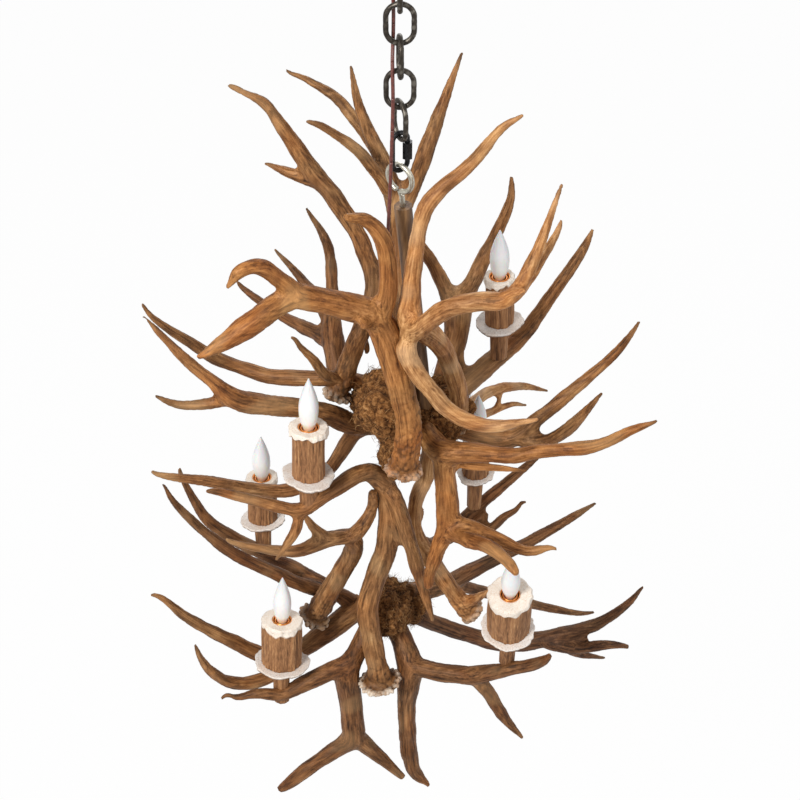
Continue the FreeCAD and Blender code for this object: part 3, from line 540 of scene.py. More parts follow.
def plainFinish(name, grain, stops, over=None, gloss=None, dents=None, relief=None, **sockets):
    shader = Shader(name, **sockets)
    fine = shader.noise(*grain)
    tone = shader.tones(fine, *stops)
    if over:
        mask, covering = over
        tone = shader.blend(shader.mask(mask), tone, srgb(*covering))
    shader.colour(tone)
    if gloss:
        shader.rough(shader.span(fine, *gloss))
    if relief:
        shader.bump(shader.noise(*dents) if dents else fine, *relief)
    return shader.material


antlerFinish = {tone: antlerMaterial(tone) for tone in antlerTones}
finishes = {name: plainFinish(name, **made) for name, made in plainFinishes.items()}
bark = barkMaterial()
bone = boneMaterial()
frosted = glassMaterial()
moss = mossMaterial()
print("materials made")


# antlers
# burr: the foot of a shed antler's coronet, in mm from the hanging point, with the way the beam
# leaves it, its radius, how bare its rim is, and how far and how high the knobs go up the beam

antlerTraits = {
    "front_left_high": {
        "tone": "warm", "radius": 24, "bare": 0.3,
        "burr": (4, -103, -355), "up": (6, 5, 45), "pearls": (165, 2.0),
    },
    "front_right_high": {
        "tone": "tan", "radius": 20, "bare": 0.4,
        "burr": (74, 22, -388), "up": (2, -8, 47), "pearls": (60, 1.0),
    },
    "upper_left": {
        "tone": "brown", "radius": 20, "bare": 0.6,
        "burr": (-81, 13, -333), "up": (25, 12, 73), "pearls": (75, 1.4),
    },
    "top_back": {"tone": "brown"},
    "back_left": {"tone": "dark"},
    "left_high": {"tone": "brown"},
    "left_mid": {"tone": "brown"},
    "centre_left": {
        "tone": "brown", "radius": 30, "bare": 1.0,
        "burr": (-28, -88, -774), "up": (-4, 4, 34), "pearls": (60, 1.2),
    },
    "left_low_fork": {
        "tone": "brown", "radius": 23, "bare": 0.5,
        "burr": (-121, -28, -706), "up": (42, 2, 95), "pearls": (90, 1.5),
    },
    "left_low_back": {"tone": "dark"},
    "low_left": {"tone": "brown"},
    "low_front_left": {"tone": "dark"},
    "right_front": {"tone": "warm"},
    "right_high": {"tone": "brown"},
    "right_upper": {"tone": "brown"},
    "back_fork": {"tone": "brown"},
    "back_right": {"tone": "tan"},
    "right_low_back": {"tone": "dark"},
    "right_mid_back": {"tone": "dark"},
    "low_right_back": {"tone": "umber"},
    "low_right_front": {"tone": "dark"},
    "right_inner": {
        "tone": "tan", "radius": 20, "bare": 0.4,
        "burr": (102, -34, -684), "up": (-16, -2, 15), "pearls": (70, 1.2),
    },
}

antlerSurface = {
    "voxel": (1.7 * mm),
    "coarser": 1.3,  # voxels of the swollen form
    "smooth": (0.3, 3),  # weight and passes that take off the voxels' steps
    "web": 4.5 * mm,  # how far forks are filled in
    "stemReach": 12 * mm,  # normals this near tell which way a stem runs
    "stemPasses": 0.9,
    "deepest": 0.08,
    "unknownThick": 0.02,
    "thickPasses": 12,
    "corePasses": 10,
    "streakPasses": 26,
    "streakPower": 10,  # how strictly streaks keep to the stem
    "streakPull": 6,
    "streakLeak": 0.02,
    "grooveDeep": 0.24 * mm,
    "beam": (4 * mm, 20 * mm),  # tips are smooth, beams are rough
    "swell": (42 * mm, 0.65 * mm),  # width and height of the rolling relief
    "dent": (9 * mm, 0.14 * mm),
    "tipGain": 0.35 * mm,  # gives back what the voxels take off a fine tip
    "stainPatch": 60 * mm,
    "wornPatch": 75 * mm,
    "wornTip": (9 * mm, 4 * mm),
    "darkTip": (5.5 * mm, 2.5 * mm),
}

coronetShape = {
    "pearlApart": 5.5 * mm,
    "pearlPatch": 26 * mm,
    "near": 20,  # the knobs are full up to this far from the foot
    "roll": (17 * mm, 0.5 * mm),
    "rimOut": (0.68, 0.88),  # shares of the radius where the rim starts and is full
    "rimUp": (16, 10),
    "within": 2,  # times the radius
    "toothWide": 6.2 * mm,
    "toothHigh": 3.4 * mm,
    "barePatch": 30 * mm,
    "collar": (30, 12),
    "darkest": 0.92,
}


def largestOnly(mesh):
    # drops the crumbs that voxels leave at fine tips
    edges = edgesOf(mesh)
    label = np.arange(len(mesh.vertices))
    while True:
        low = np.minimum(label[edges[:, 0]], label[edges[:, 1]])
        lower = label.copy()
        np.minimum.at(lower, edges[:, 0], low)
        np.minimum.at(lower, edges[:, 1], low)
        lower = lower[lower]
        if (lower == label).all():
            break
        label = lower
    doomed = np.flatnonzero(label != np.bincount(label).argmax())
    if len(doomed):
        form = bmesh.new()
        form.from_mesh(mesh)
        form.verts.ensure_lookup_table()
        bmesh.ops.delete(form, geom=[form.verts[i] for i in doomed], context="VERTS")
        form.to_mesh(mesh)
        form.free()
        mesh.update()


def webbed(thing, surface):
    # swell, join and shrink again: creases at the forks fill into smooth webs
    step = surface["voxel"]
    reach = surface["web"]
    original = thing.data.copy()
    voxels(thing, step)
    soften(thing.data, *surface["smooth"])
    setPoints(thing.data, pointsOf(thing.data) + normalsOf(thing.data) * reach)
    voxels(thing, step * surface["coarser"])
    mesh = thing.data
    heading = spread(normalsOf(mesh), edgesOf(mesh), np.ones(len(mesh.edges)), 2)
    heading /= np.linalg.norm(heading, axis=1, keepdims=True)
    setPoints(mesh, pointsOf(mesh) - heading * reach)
    both = bmesh.new()
    both.from_mesh(mesh)
    both.from_mesh(original)
    both.to_mesh(mesh)
    both.free()
    voxels(thing, step)
    largestOnly(thing.data)
    soften(thing.data, *surface["smooth"])


def stemDirection(mesh, edges, surface):
    # the way each stretch runs: where nearby normals all lie square to it
    normals = normalsOf(mesh)
    pairs = [(0, 0), (0, 1), (0, 2), (1, 1), (1, 2), (2, 2)]
    product = np.stack([normals[:, i] * normals[:, j] for i, j in pairs], 1)
    passes = int((surface["stemReach"] / surface["voxel"]) ** 2 * surface["stemPasses"])
    product = spread(product, edges, np.ones(len(edges)), passes)
    matrix = np.empty((len(normals), 3, 3))
    for k, (i, j) in enumerate(pairs):
        matrix[:, i, j] = product[:, k]
        matrix[:, j, i] = product[:, k]
    return np.linalg.eigh(matrix)[1][:, :, 0]


def streaks(points, edges, heading, seed, passes):
    # white noise drawn out along the stems, spread evenly over 0 to 1
    rng = np.random.default_rng(seed)
    run = points[edges[:, 1]] - points[edges[:, 0]]
    run /= np.linalg.norm(run, axis=1, keepdims=True) + 1e-12
    middle = heading[edges[:, 0]]
    along = np.abs((run * middle).sum(1))
    values = rng.normal(size=len(points))
    pull = along ** antlerSurface["streakPower"] * antlerSurface["streakPull"]
    values = spread(values, edges, pull + antlerSurface["streakLeak"], passes)
    order = np.argsort(np.argsort(values))
    return order / (len(values) - 1)


def thickness(mesh, points, normals):
    # how thick the antler is under each point
    tree = BVHTree.FromPolygons([tuple(p) for p in points], [tuple(f.vertices) for f in mesh.polygons])
    far = np.empty(len(points))
    for i, (point, normal) in enumerate(zip(points, normals)):
        start = Vector(point - normal * 0.2 * mm)
        hit = tree.ray_cast(start, Vector(-normal), antlerSurface["deepest"])
        far[i] = hit[3] if hit[3] is not None else antlerSurface["unknownThick"]
    return far


def fromBurr(points, traits):
    # how far up the beam and round it each point is, as seen from the coronet's foot
    up = Vector(traits["up"]).normalized()
    side = up.orthogonal().normalized()
    other = up.cross(side)
    apart = points - np.array(fromHanging(*traits["burr"]))
    height = apart @ np.array(up) / mm
    across = apart @ np.array(side) / mm
    deep = apart @ np.array(other) / mm
    return height, np.hypot(across, deep), np.linalg.norm(apart, axis=1) / mm


def addCoronet(points, traits, seed, lift, groove, stain):
    # knobs up the beam and round the rim: bare where they are worn, dark between them and above
    shape = coronetShape
    reach, high = traits["pearls"]
    radius = traits["radius"]
    height, out, apart = fromBurr(points, traits)
    within = apart < radius * shape["within"]
    near = eased(reach, shape["near"], apart)
    pearl = knobs(points, apart < reach, shape["pearlApart"], seed)
    patch = ripples(points, shape["pearlPatch"], seed + 4)
    rough = eased(0.3, 0.75, 0.5 + 0.5 * patch + near * 0.4)
    lift = lift + pearl * near * rough * high * mm
    groove = np.clip(groove * (1 - 0.4 * near) + (pearl * 0.8 - 0.1) * near * 0.6, 0, 1)
    stain = np.maximum(stain, near * rough * eased(0.22, 0.0, pearl) * 0.7)
    wide, roll = shape["roll"]
    lift += ripples(points, wide, seed + 6) * near * high * roll
    inner, full = shape["rimOut"]
    rim = eased(radius * inner, radius * full, out) * eased(*shape["rimUp"], height) * within
    teeth = knobs(points, rim > 0.02, shape["toothWide"], seed + 5)
    lift += rim * (teeth - 0.45) * shape["toothHigh"]
    shown = eased(-0.9, 0.6, ripples(points, shape["barePatch"], seed + 8))
    bare = np.clip(rim * traits["bare"] * eased(0.05, 0.45, teeth) * (0.45 + 0.55 * shown), 0, 1)
    pits = rim * eased(0.3, 0.05, teeth)
    collar = eased(*shape["collar"], height) * eased(0, 6, height) * (1 - rim) * within
    stain = np.clip(np.maximum(stain, pits * 0.9) + collar * 0.45, 0, shape["darkest"])
    return lift, groove, stain, bare


def makeAntler(name, traits, seed):
    node = "antler_" + name
    surface = antlerSurface
    thing = copyOf(node, name + "Antler")
    webbed(thing, surface)
    mesh = thing.data
    edges = edgesOf(mesh)
    even = np.ones(len(edges))
    points = pointsOf(mesh)
    normals = normalsOf(mesh)
    thick = spread(thickness(mesh, points, normals), edges, even, surface["thickPasses"])
    core = spread(points - normals * thick[:, None] / 2, edges, even, surface["corePasses"])
    heading = stemDirection(mesh, edges, surface)
    fine = streaks(points, edges, heading, seed, surface["streakPasses"])
    broad = streaks(points, edges, heading, seed + 50, surface["streakPasses"] * 3)
    groove = np.clip(0.6 * fine + 0.55 * broad - 0.075, 0, 1)
    body = eased(*surface["beam"], thick)
    lift = (groove - 0.5) * 2 * surface["grooveDeep"] * (0.3 + 0.7 * body)
    wide, high = surface["swell"]
    lift += ripples(points, wide, seed) * high * body
    wide, high = surface["dent"]
    lift += ripples(points, wide, seed + 7) * high
    lift += (1 - body) * surface["tipGain"]
    stain = 0.45 * eased(0.3, 1.2, ripples(points, surface["stainPatch"], seed + 3))
    stain = np.maximum(stain * eased(0.6, 0.1, groove), eased(*surface["darkTip"], thick) * 0.55)
    worn = eased(0.4, 1.4, ripples(points, surface["wornPatch"], seed + 9)) * 0.6
    worn += eased(*surface["wornTip"], thick) * 0.3
    bare = np.zeros(len(points))
    if "burr" in traits:
        lift, groove, stain, bare = addCoronet(points, traits, seed, lift, groove, stain)
    setPoints(mesh, points + normals * lift[:, None])
    setMask(mesh, "groove", groove)
    setMask(mesh, "worn", np.clip(worn, 0, 1))
    setMask(mesh, "stain", stain)
    setMask(mesh, "bone", bare)
    setFlow(mesh, "grain", points - core + points * 0.05)
    mesh.materials.clear()
    mesh.materials.append(antlerFinish[traits["tone"]])
    slotName = [s["material_slot"] for s in frame["record"]["subparts"] if s["node"] == node][0]
    finishPiece(thing, "fixture", slotName, node)
    return len(mesh.vertices)


total = 0
for number, (name, traits) in enumerate(antlerTraits.items()):
    total += makeAntler(name, traits, 100 + number)
print("antlers dressed,", total, "points")


# candles: the same seats, leans and sizes as the solids, in mm from the hanging point

candles = [
    dict(seat=(127, 80, -264), lean=0, right=-1.8, rise=50, cover=18, rim=19.5, pan=30, phase=0.4),
    dict(seat=(-114, -88, -376), lean=-8, right=1.8, rise=44, cover=20.5, rim=25.5, pan=34, phase=1.9),
    dict(seat=(-194, 70, -604), lean=-6, right=1.5, rise=58, cover=21, rim=22.5, pan=31, phase=3.1),
    dict(seat=(-164, -92, -724), lean=-12, right=2.5, rise=60, cover=28, rim=28.5, pan=38, phase=4.6),
    dict(seat=(145, -112, -630), lean=6, right=-1, rise=74, cover=30, rim=31, pan=38, phase=5.5),
    dict(seat=(107, 114, -556), lean=0, right=0, rise=60, cover=20, rim=23, pan=28, phase=2.6),
]

candleSizes = {
    "sides": 160,
    "coverHigh": 71,
    "bore": 13.5,
    "panThick": 7.5,
    "panHole": 5.2,
    "stubWide": 24,
    "stubSides": 72,
    "socketSides": 72,
    "bulbOut": 69,
    "bulbWide": 25,
    "bulbSides": 48,
}

# ripples round each outline: how many, and their height as a share of the radius
barkWaves = ((2, 0.025), (5, 0.012), (9, 0.01))
rimWaves = ((2, 0.03), (7, 0.02), (11, 0.015))
panWaves = ((2, 0.05), (3, 0.035), (7, 0.02))

# a pan's edge from its underside up: share of the way out, depth in pan thicknesses, share of bark
panEdge = ((0.4, 0.86, 1), (0.8, 0.62, 1), (0.97, 0.4, 0.7), (1.0, 0.2, 0))

# a socket's section: radius and depth under the cover's top
socketSection = (
    (13.3, 40), (13.3, 1.4), (13.1, 0.5), (12.5, 0.3), (12.0, 0.8), (11.9, 6), (10.4, 6.2),
    (10.3, 2.4), (9.9, 1.5), (9.2, 1.3), (8.5, 1.8), (8.2, 3), (8.2, 24), (0.05, 24),
)

# a bulb's outline: share of its height and of its radius
bulbOutline = (
    (-0.32, 0.44), (-0.05, 0.44), (-0.03, 0.56), (0.01, 0.6), (0.06, 0.72), (0.12, 0.83), (0.2, 0.92),
    (0.3, 0.98), (0.4, 1.0), (0.5, 0.96), (0.58, 0.87), (0.66, 0.75), (0.74, 0.61), (0.82, 0.45),
    (0.89, 0.29), (0.94, 0.17), (0.975, 0.1), (0.992, 0.06), (1.0, 0.02),
)


def waved(radius, angle, waves, phase):
    return radius * (1 + sum(share * np.sin(n * angle + phase * n) for n, share in waves))


def candlePlace(candle):
    lean = math.radians(candle["lean"])
    right = math.radians(candle["right"])
    axis = Vector((math.sin(right), -math.sin(lean), 1)).normalized()
    turn = Vector((0, 0, 1)).rotation_difference(axis)
    return Matrix.Translation(fromHanging(*candle["seat"])) @ turn.to_matrix().to_4x4()


def seated(thing, candle, body, slotName, node):
    # a piece made about its own origin goes to its candle's seat
    thing.data.transform(candlePlace(candle))
    return finishPiece(thing, body, slotName, node)


def anglesOf(count):
    return np.arange(count) * 2 * math.pi / count


def roundNoise(angle, height, cells, seed, drawn):
    # noise on a tube's wall: cells round it, drawn out up and down
    level = np.full(angle.shape, height / drawn)
    spots = np.stack([np.cos(angle) * cells, np.sin(angle) * cells, level], 1)
    return ripples(spots, 6.0, seed, 12)


def tube(name, angle, rows, masks, finish):
    # rows: radius, height and a value for each mask, all round; joined into one closed skin
    rows = [[np.broadcast_to(value, angle.shape) for value in row] for row in rows]
    points = [np.stack([row[0] * np.cos(angle), row[0] * np.sin(angle), row[1]], 1) * mm for row in rows]
    thing = meshFrom(name, np.concatenate(points), ringFaces(len(rows), len(angle)))
    for place, mask in enumerate(masks, start=2):
        setMask(thing.data, mask, np.concatenate([row[place] for row in rows]))
    thing.data.materials.append(finish)
    return thing


def makeCover(candle, number):
    bore = candleSizes["bore"]
    high = candleSizes["coverHigh"]
    angle = anglesOf(candleSizes["sides"])
    phase = candle["phase"]
    seed = number * 11
    # the pale rim stands proud and runs down in drips
    drip = 9 + 2.4 * np.sin(2 * angle + phase) + 1.7 * np.sin(7 * angle + 2 * phase)
    drip += 1.1 * np.sin(13 * angle)
    rows = []
    for z in (*np.arange(0, high - 16, 1.6), *np.arange(high - 16, high - 0.4, 0.8), high - 0.4):
        uneven = 0.975 + 0.02 * math.sin(z / 14 + phase)
        wall = waved(candle["cover"] * uneven, angle, barkWaves, phase)
        coarse = roundNoise(angle, z, 12, seed + 1, 30)
        fine = roundNoise(angle, z, 34, seed + 2, 16)
        cut = np.clip(0.52 + 0.2 * coarse + 0.2 * fine, 0, 1)
        lip = eased(high - drip - 1.5, high - drip + 2.0, z)
        crumb = roundNoise(angle, z, 20, seed + 5, 2.5)
        edge = waved(candle["rim"], angle, rimWaves, phase) * 0.985 + 0.5 * crumb - 1.2 * (z > high - 1)
        skin = wall + (cut - 0.55) * 2.2
        rows.append((skin + (np.minimum(edge, candle["rim"] * 1.05) - skin) * lip, z, cut, lip))
    top = rows[-1][0]
    for share in (0.93, 0.8, 0.62, 0.42, 0.2, 0.05):
        wavy = roundNoise(angle, share * 30, 9, seed + 6, 8) * 0.25
        rows.append((bore + (top - bore) * share, high - 0.1 + wavy, 0.5, 1))
    rows += [(bore, high - deep, 0.2, 0.7) for deep in (0.8, 6, 12)]
    thing = tube("candleCover%d" % number, angle, rows, ("groove", "bone"), bark)
    return seated(thing, candle, "fixture", "antler_bark", "candle_cover_%d" % number)


def makePan(candle, number):
    hole = candleSizes["panHole"]
    thick = candleSizes["panThick"]
    angle = anglesOf(candleSizes["sides"])
    phase = candle["phase"]
    seed = number * 13
    ragged = 1 + 0.012 * roundNoise(angle, 0, 18, seed + 3, 1)
    ragged += 0.014 * roundNoise(angle, 0, 7, seed + 4, 1)
    outline = waved(candle["pan"], angle, panWaves, phase) * np.minimum(ragged, 1.03) * 0.985
    under = waved(candle["pan"] * 0.8, angle, panWaves, phase)
    rows = [(hole + (under - hole) * share, -thick, 1) for share in (0.0, 0.5, 1.0)]
    edge = [(share, -thick * deep, mark) for share, deep, mark in panEdge] + [(0.99, -0.5, 0)]
    for share, z, mark in edge:
        crumb = roundNoise(angle, z, 22, seed + 5, 2)
        rows.append((under + (outline - under) * share + crumb * 0.5, z, mark))
    for share in (0.97, 0.9, 0.8, 0.7, 0.58, 0.45, 0.3, 0.15, 0.0):
        dish = roundNoise(angle, share * 40, 8, seed + 6, 7)
        rows.append((hole + (outline - hole) * share, -0.25 + dish * 0.35 * (1 - 0.5 * share), 0))
    thing = tube("candlePan%d" % number, angle, rows, ("bark",), bone)
    return seated(thing, candle, "fixture", "cut_bone", "candle_pans")


def makeStub(candle, number):
    wide = candleSizes["stubWide"]
    angle = anglesOf(candleSizes["stubSides"])
    seed = number * 17
    top = -candleSizes["panThick"]
    foot = top - candle["rise"]
    rows = [(0.05, foot, 0.4)]
    for z in np.arange(foot, top + 0.01, 1.6):
        share = (z - foot) / (top - foot)
        coarse = roundNoise(angle, z, 7, seed + 1, 26)
        fine = roundNoise(angle, z, 18, seed + 2, 18)
        cut = np.clip(0.5 + 0.3 * coarse + 0.2 * fine, 0, 1)
        wall = waved((wide - 3 + 3 * share) / 2, angle, barkWaves, candle["phase"])
        rows.append((wall + (cut - 0.6) * 1.6, z, cut))
    thing = tube("candleStub%d" % number, angle, rows, ("groove",), bark)
    return seated(thing, candle, "fixture", "antler_dark", "candle_stubs")


def makeSocket(candle, number):
    top = candleSizes["coverHigh"]
    rows = []
    for radius, deep in socketSection:
        gap = eased(2, 5, deep) if 10 < radius < 12.2 else 0
        rows.append((radius, top - deep, gap))
    angle = anglesOf(candleSizes["socketSides"])
    thing = tube("candleSocket%d" % number, angle, rows, ("gap",), finishes["socketCopper"])
    return seated(thing, candle, "fixture", "socket_plastic", "candle_sockets")


def makeBulb(candle, number):
    top = candleSizes["coverHigh"]
    belly = candleSizes["bulbWide"] / 2
    out = candleSizes["bulbOut"]
    rows = [(r * belly, top + share * out, max(share, 0)) for share, r in bulbOutline]
    rows = [(0.2, rows[0][1], 0)] + rows
    thing = tube("bulb%d" % number, anglesOf(candleSizes["bulbSides"]), rows, ("along",), frosted)
    smooth = thing.modifiers.new("smooth", "SUBSURF")
    smooth.levels = 1
    applyModifiers(thing)
    return seated(thing, candle, "bulb_%d" % number, "frosted_glass", "candle_bulb_%d" % number)


for number, candle in enumerate(candles, start=1):
    makeCover(candle, number)
    makePan(candle, number)
    makeStub(candle, number)
    makeSocket(candle, number)
    makeBulb(candle, number)
paint("candle_nipples", finishes["zincSteel"])
print("candles made")


# chain and hanger

chainSizes = {
    "linkLong": 51.5,
    "linkWide": 36.5,
    "linkWire": 6.3,
    "turns": (0, 90, 0, 95, 0, 115),
    "quickLong": 54,
    "quickWide": 25,
    "quickWire": 6,
    "quickMouth": 11,
    "quickTurn": 28,
    "sides": 20,
}


def oblongPath(longSide, wideSide, wire, steps, start=0.0, end=1.0):
    # points round a link's middle line in its own XZ plane, beginning half way up its right leg
    radius = (wideSide - wire) / 2
    straight = longSide - wideSide
    leg = straight / 2
    bend = math.pi * radius
    whole = 2 * straight + 2 * math.pi * radius

    def bent(turn, middle):
        return radius * math.cos(turn), 0, middle + radius * math.sin(turn)

    stretches = (
        (leg, lambda run: (radius, 0, run)),
        (bend, lambda run: bent(run / radius, leg)),
        (straight, lambda run: (-radius, 0, leg - run)),
        (bend, lambda run: bent(math.pi + run / radius, -leg)),
        (straight, lambda run: (radius, 0, -leg + run)),
    )
    points = []
    for i in range(steps):
        run = (start + (end - start) * i / steps) * whole
        for length, place in stretches:
            if run < length:
                points.append(place(run))
                break
            run -= length
    return points


def turnedAt(height, turn):
    return Matrix.Translation((0, 0, height)) @ Matrix.Rotation(math.radians(turn), 4, "Z")


def makeLink(number, turn):
    low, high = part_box("chain_link_%d" % number)
    sizes = chainSizes
    path = oblongPath(sizes["linkLong"], sizes["linkWide"], sizes["linkWire"], 120)
    radii = []
    for i, (x, y, z) in enumerate(path):
        weld = math.exp(-((z - 3) / 1.6) ** 2) if x > 0 else 0  # the butt weld half way up one leg
        uneven = 0.035 * math.sin(i * 0.37 + number) + 0.02 * math.sin(i * 0.83 + 2 * number)
        radii.append(sizes["linkWire"] / 2 * (0.965 + uneven * 0.7 + 0.03 * weld) * mm)
    place = turnedAt((low.z + high.z) / 2, turn)
    line = [place @ (Vector(p) * mm) for p in path]
    thing = sweep("chainLink%d" % number, line, radii, sizes["sides"], finishes["chainIron"], True)
    points = pointsOf(thing.data)
    setMask(thing.data, "worn", 0.55 * eased(0.0, 1.3, ripples(points, 9 * mm, 40 + number)))
    return finishPiece(thing, "link_%d" % number, "chain_iron", "chain_link_%d" % number)


for number, turn in enumerate(chainSizes["turns"], start=1):
    makeLink(number, turn)


def makeQuickLink():
    sizes = chainSizes
    low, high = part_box("quick_link")
    long, wide, wire = sizes["quickLong"], sizes["quickWide"], sizes["quickWire"]
    whole = 2 * (long - wide) + math.pi * (wide - wire)
    gap = sizes["quickMouth"] / 2 / whole
    path = oblongPath(long, wide, wire, 110, gap, 1 - gap)
    place = turnedAt((low.z + high.z) / 2, sizes["quickTurn"])
    line = [place @ (Vector(p) * mm) for p in path]
    radii = [wire / 2 * 0.985 * mm] * len(line)
    thing = sweep("quickLink", line, radii, sizes["sides"], finishes["blackSteel"])
    return finishPiece(thing, "hanger", "black_steel", "quick_link")


makeQuickLink()


def dressed(node, name, body, slotName, finish, bevel, segments):
    # the solid itself with its sharp edges broken
    thing = copyOf(node, name)
    change = thing.modifiers.new("edges", "BEVEL")
    change.width = bevel * mm
    change.segments = segments
    change.limit_method = "ANGLE"
    change.angle_limit = math.radians(35)
    applyModifiers(thing)
    thing.data.set_sharp_from_angle(angle=math.radians(40))
    thing.data.materials.clear()
    thing.data.materials.append(finishes[finish])
    return finishPiece(thing, body, slotName, node)


for made in (
    ("quick_link_sleeve", "quickLinkSleeve", "sleeve", "black_steel", "blackSteel", 0.6, 2),
    ("hanging_post", "hangingPost", "fixture", "post_wood", "postBone", 3, 4),
    ("canopy", "canopyShell", "mount", "canopy_steel", "canopyBronze", 0.5, 3),
    ("canopy_loop", "canopyLoop", "mount", "canopy_steel", "canopyBronze", 0.5, 2),
    ("loop_collar", "loopCollar", "collar", "canopy_steel", "canopyBronze", 0.6, 3),
    ("cord_bushing", "cordBushing", "mount", "bushing_rubber", "bushingRubber", 0.4, 2),
):
    dressed(*made)

eyeShape = {
    "turn": -38,
    "wire": 6.3,
    "gap": 16,  # degrees between the ring's end and the shank
    "lean": 5.5,
    "leanAxis": (0.37, -0.93, 0),
    "long": 68,
    "ringSteps": 60,
    "shankStep": 4,
}


def makeEyeBolt():
    # one rod: the shank runs up and is bent round into a ring whose end stops beside it
    shape = eyeShape
    radius = (ringWide / mm - shape["wire"]) / 2
    turn = Matrix.Rotation(math.radians(shape["turn"]), 4, "Z")
    lean = Quaternion(Vector(shape["leanAxis"]).normalized(), math.radians(shape["lean"]))
    down = lean @ Vector((0, 0, -1))
    step = shape["shankStep"]
    path = [down * (shape["long"] - k * step) for k in range(int((shape["long"] - radius) / step))]
    for k in range(shape["ringSteps"] + 1):
        at = math.radians(-90 + (360 - shape["gap"]) * k / shape["ringSteps"])
        path.append(turn @ Vector((radius * math.cos(at), 0, radius * math.sin(at))))
    radii = [shape["wire"] / 2 * mm] * len(path)
    line = [p * mm + hanging for p in path]
    thing = sweep("eyeBolt", line, radii, chainSizes["sides"], finishes["zincSteel"])
    return finishPiece(thing, "fixture", "zinc_steel", "eye_bolt")


makeEyeBolt()

for node in ("ceiling_crossbar", "canopy_nipple"):
    paint(node, finishes["zincSteel"])
print("chain and ceiling pieces made")


# filler between the antlers

fillerSurface = {
    "voxel": (2.2 * mm),
    "strands": 2600,
    "shrink": {"filler_upper": 0.95, "filler_lower": 0.8},  # leaves room for the strands
    "clump": (13 * mm, 3.4),  # how far apart, and how high in mm
    "crumb": (5.5 * mm, 2.2),
    "sink": 4.2,
    "swell": (34 * mm, 3.4),
    "strandThick": (0.2, 0.42),
    "strandLong": (8, 20),
    "strandJoints": 4,
}


def makeFiller(node, name, seed):
    surface = fillerSurface
    thing = copyOf(node, name)
    voxels(thing, surface["voxel"])
    mesh = thing.data
    points = pointsOf(mesh)
    normals = normalsOf(mesh)
    middle = points.mean(0)
    points = middle + (points - middle) * surface["shrink"][node]
    everywhere = np.ones(len(points), bool)
    (clumpWide, clumpHigh), (crumbWide, crumbHigh) = surface["clump"], surface["crumb"]
    swellWide, swellHigh = surface["swell"]
    clumps = knobs(points, everywhere, clumpWide, seed)
    crumbs = knobs(points, everywhere, crumbWide, seed + 1)
    lift = (clumps * clumpHigh + crumbs * crumbHigh - surface["sink"]) * mm
    lift += ripples(points, swellWide, seed) * swellHigh * mm
    setPoints(mesh, points + normals * lift[:, None])
    # the high mask marks clump and crumb tops, which the moss colour paints lighter as a painted highlight, with
    # painted shade in the pits between them
    setMask(mesh, "high", 0.45 * clumps + 0.55 * crumbs)
    mesh.materials.clear()
    mesh.materials.append(moss)
    finishPiece(thing, "fixture", "mossy_filler", node)
    makeStrands(thing, name + "Strands", seed + 20)


def makeStrands(base, name, seed):
    # loose dry fibres lying on the filler, each a thin bent ribbon of three sides
    rng = np.random.default_rng(seed)
    joints = fillerSurface["strandJoints"]
    points = pointsOf(base.data)
    normals = normalsOf(base.data)
    corners = []
    faces = []
    for i in rng.choice(len(points), fillerSurface["strands"]):
        normal = Vector(normals[i])
        heading = Vector(rng.normal(size=3))
        heading = (heading - normal * heading.dot(normal) * 0.8).normalized()
        at = Vector(points[i]) + normal * 0.3 * mm
        thick = rng.uniform(*fillerSurface["strandThick"]) * mm
        length = rng.uniform(*fillerSurface["strandLong"]) * mm
        start = len(corners)
        for k in range(joints + 1):
            side = heading.cross(normal).normalized()
            width = thick * (1 - 0.16 * k)
            corners += [at + side * width, at - side * width, at + normal * width * 1.6]
            heading = (heading + Vector(rng.normal(size=3)) * 0.35 - normal * 0.12).normalized()
            at = at + heading * length / joints
        for k in range(joints):
            for j in range(3):
                a = start + k * 3 + j
                b = start + k * 3 + (j + 1) % 3
                faces.append((a, b, b + 3, a + 3))
        end = start + joints * 3
        faces.append((start + 2, start + 1, start))
        faces.append((end, end + 1, end + 2))
    thing = meshFrom(name, corners, faces)
    thing.data.materials.append(finishes["mossyFibre"])
    finishPiece(thing, "fixture", "mossy_filler")


makeFiller("filler_upper", "fillerUpper", 500)
makeFiller("filler_lower", "fillerLower", 600)
print("filler made")


# supply cord: the same points as the solid's route, in mm from the hanging point

cordRoute = [
    (-18.54, 9.86, 326), (-18.5, 9.9, 308), (-14, 11.5, 286), (-9.5, 12.5, 262),
    (-8, 11, 234), (-6.8, 8.8, 206), (-7, 8, 184), (-7.6, 5.6, 164),
    (-8.2, -2, 150), (-8, -8.4, 134), (-7.5, -11, 112), (-8, -13, 86),
    (-9, -15, 52), (-10.5, -17, 14), (-12, -22, -22), (-14, -34, -56),
    (-16, -47, -88), (-18, -59, -118),
]
cordShape = {
    "thick": 4.2 * mm,
    "sides": 14,
    "bendReach": 0.012,  # a reach above and below a joint
    "joints": [*("swing_%d" % k for k in range(1, 7)), "hanger_swing", "fixture_swing"],
}


def cordLine(route):
    # points along the smooth line that the route controls
    curve = bpy.data.curves.new("cordLine", "CURVE")
    curve.dimensions = "3D"
    spline = curve.splines.new("NURBS")
    spline.points.add(len(route) - 1)
    for point, place in zip(spline.points, route):
        point.co = (*fromHanging(*place), 1)
    spline.order_u = 3
    spline.use_endpoint_u = True
    spline.resolution_u = 12
    thing = linked("cordLine", curve)
    mesh = bpy.data.meshes.new_from_object(thing)
    line = [v.co.copy() for v in mesh.vertices]
    bpy.data.objects.remove(thing)
    return line


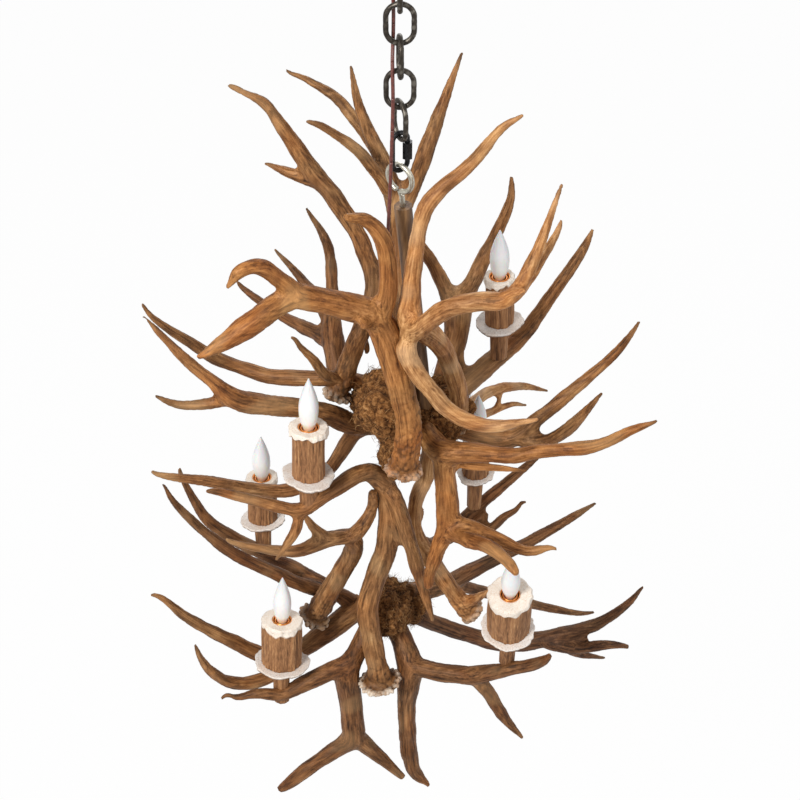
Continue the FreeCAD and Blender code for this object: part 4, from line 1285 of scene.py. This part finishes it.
def makeCord():
    # the cord in stretches, one round each joint of the chain, cut half way between the joints
    line = cordLine(cordRoute)
    chain = cordShape["joints"]
    found = {joint["name"]: joint for joint in frame["joints"]}
    heights = [found[name]["pos_m"][2] for name in chain]
    seams = [(a + b) / 2 for a, b in zip(heights, heights[1:])]
    cuts = [1.0] + seams + [-9.0]
    for number, name in enumerate(chain):
        top, bottom = cuts[number], cuts[number + 1]
        stretch = [p for p in line if bottom <= p.z <= top]
        after = [p for p in line if p.z < bottom]
        if after:
            stretch.append(after[0])
        radii = [cordShape["thick"] / 2] * len(stretch)
        thing = sweep("cord%d" % (number + 1), stretch, radii, cordShape["sides"], finishes["cordJacket"])
        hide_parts("power_cord")
        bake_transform(thing)


makeCord()
print("cord made")


# floor, background and light

studio = {
    "floorBelow": 1.1,  # the floor lies this far under the lowest antler
    "floorSide": 14,
    "floorTone": (0.8, 0.8, 0.8, 1),
    "white": 0.97,  # share of plain white in the floor where it is seen; the rest takes the shadow
    "sky": 0.42,
    "skyTone": (1, 0.99, 0.98, 1),
}


def backgroundSeen(tree):
    # 1 where a ray sees the background: from the camera, in a reflection or through glass
    path = addNode(tree, "LightPath")
    seen = path.outputs["Is Camera Ray"]
    for ray in ("Is Glossy Ray", "Is Transmission Ray"):
        seen = addNode(tree, "Math", {0: seen, 1: path.outputs[ray]}, operation="MAXIMUM").outputs[0]
    return seen


def emptyTree(owner):
    owner.use_nodes = True
    owner.node_tree.nodes.clear()
    return owner.node_tree


def mixInto(tree, output, share, first, second):
    mix = addNode(tree, "MixShader", {0: share, 1: first.outputs[0], 2: second.outputs[0]})
    addNode(tree, output, {0: mix.outputs[0]})


def makeFloor():
    side = studio["floorSide"]
    height = cadBox[0].z - studio["floorBelow"]
    mesh = bpy.data.meshes.new("floor")
    corners = [(x * side, y * side, height) for x, y in ((-1, -1), (1, -1), (1, 1), (-1, 1))]
    mesh.from_pydata(corners, [], [(0, 1, 2, 3)])
    floor = linked("floor", mesh)
    material = bpy.data.materials.new("paleFloor")
    tree = emptyTree(material)
    diffuse = addNode(tree, "BsdfDiffuse", {"Color": studio["floorTone"]})
    glow = addNode(tree, "Emission")
    share = addNode(tree, "Math", {0: backgroundSeen(tree), 1: studio["white"]}, operation="MULTIPLY")
    mixInto(tree, "OutputMaterial", share.outputs[0], diffuse, glow)
    mesh.materials.append(material)


def makeWorld():
    world = bpy.data.worlds.new("studio")
    scene.world = world
    tree = emptyTree(world)
    sky = addNode(tree, "Background", {"Color": studio["skyTone"], "Strength": studio["sky"]})
    white = addNode(tree, "Background", {"Color": (1, 1, 1, 1)})
    mixInto(tree, "OutputWorld", backgroundSeen(tree), sky, white)


def areaLight(name, place, target, power, size, tone=(1, 1, 1)):
    data = bpy.data.lights.new(name, "AREA")
    data.energy = power
    data.size = size
    data.color = tone
    light = bpy.data.objects.new(name, data)
    light.location = place
    light.rotation_mode = "QUATERNION"
    light.rotation_quaternion = (Vector(target) - Vector(place)).to_track_quat("-Z", "Y")
    scene.collection.objects.link(light)


makeFloor()
makeWorld()
middle = (0, 0, -0.8)
areaLight("keyLight", (-1.5, -2.0, 1.2), middle, 92, 0.8, (1, 0.98, 0.95))
areaLight("fillLight", (2.2, -1.4, 0.2), middle, 20, 1.6)
areaLight("backLight", (0.4, 2.4, 0.6), middle, 26, 1.4)
scene.view_settings.view_transform = "Standard"
print("studio ready")
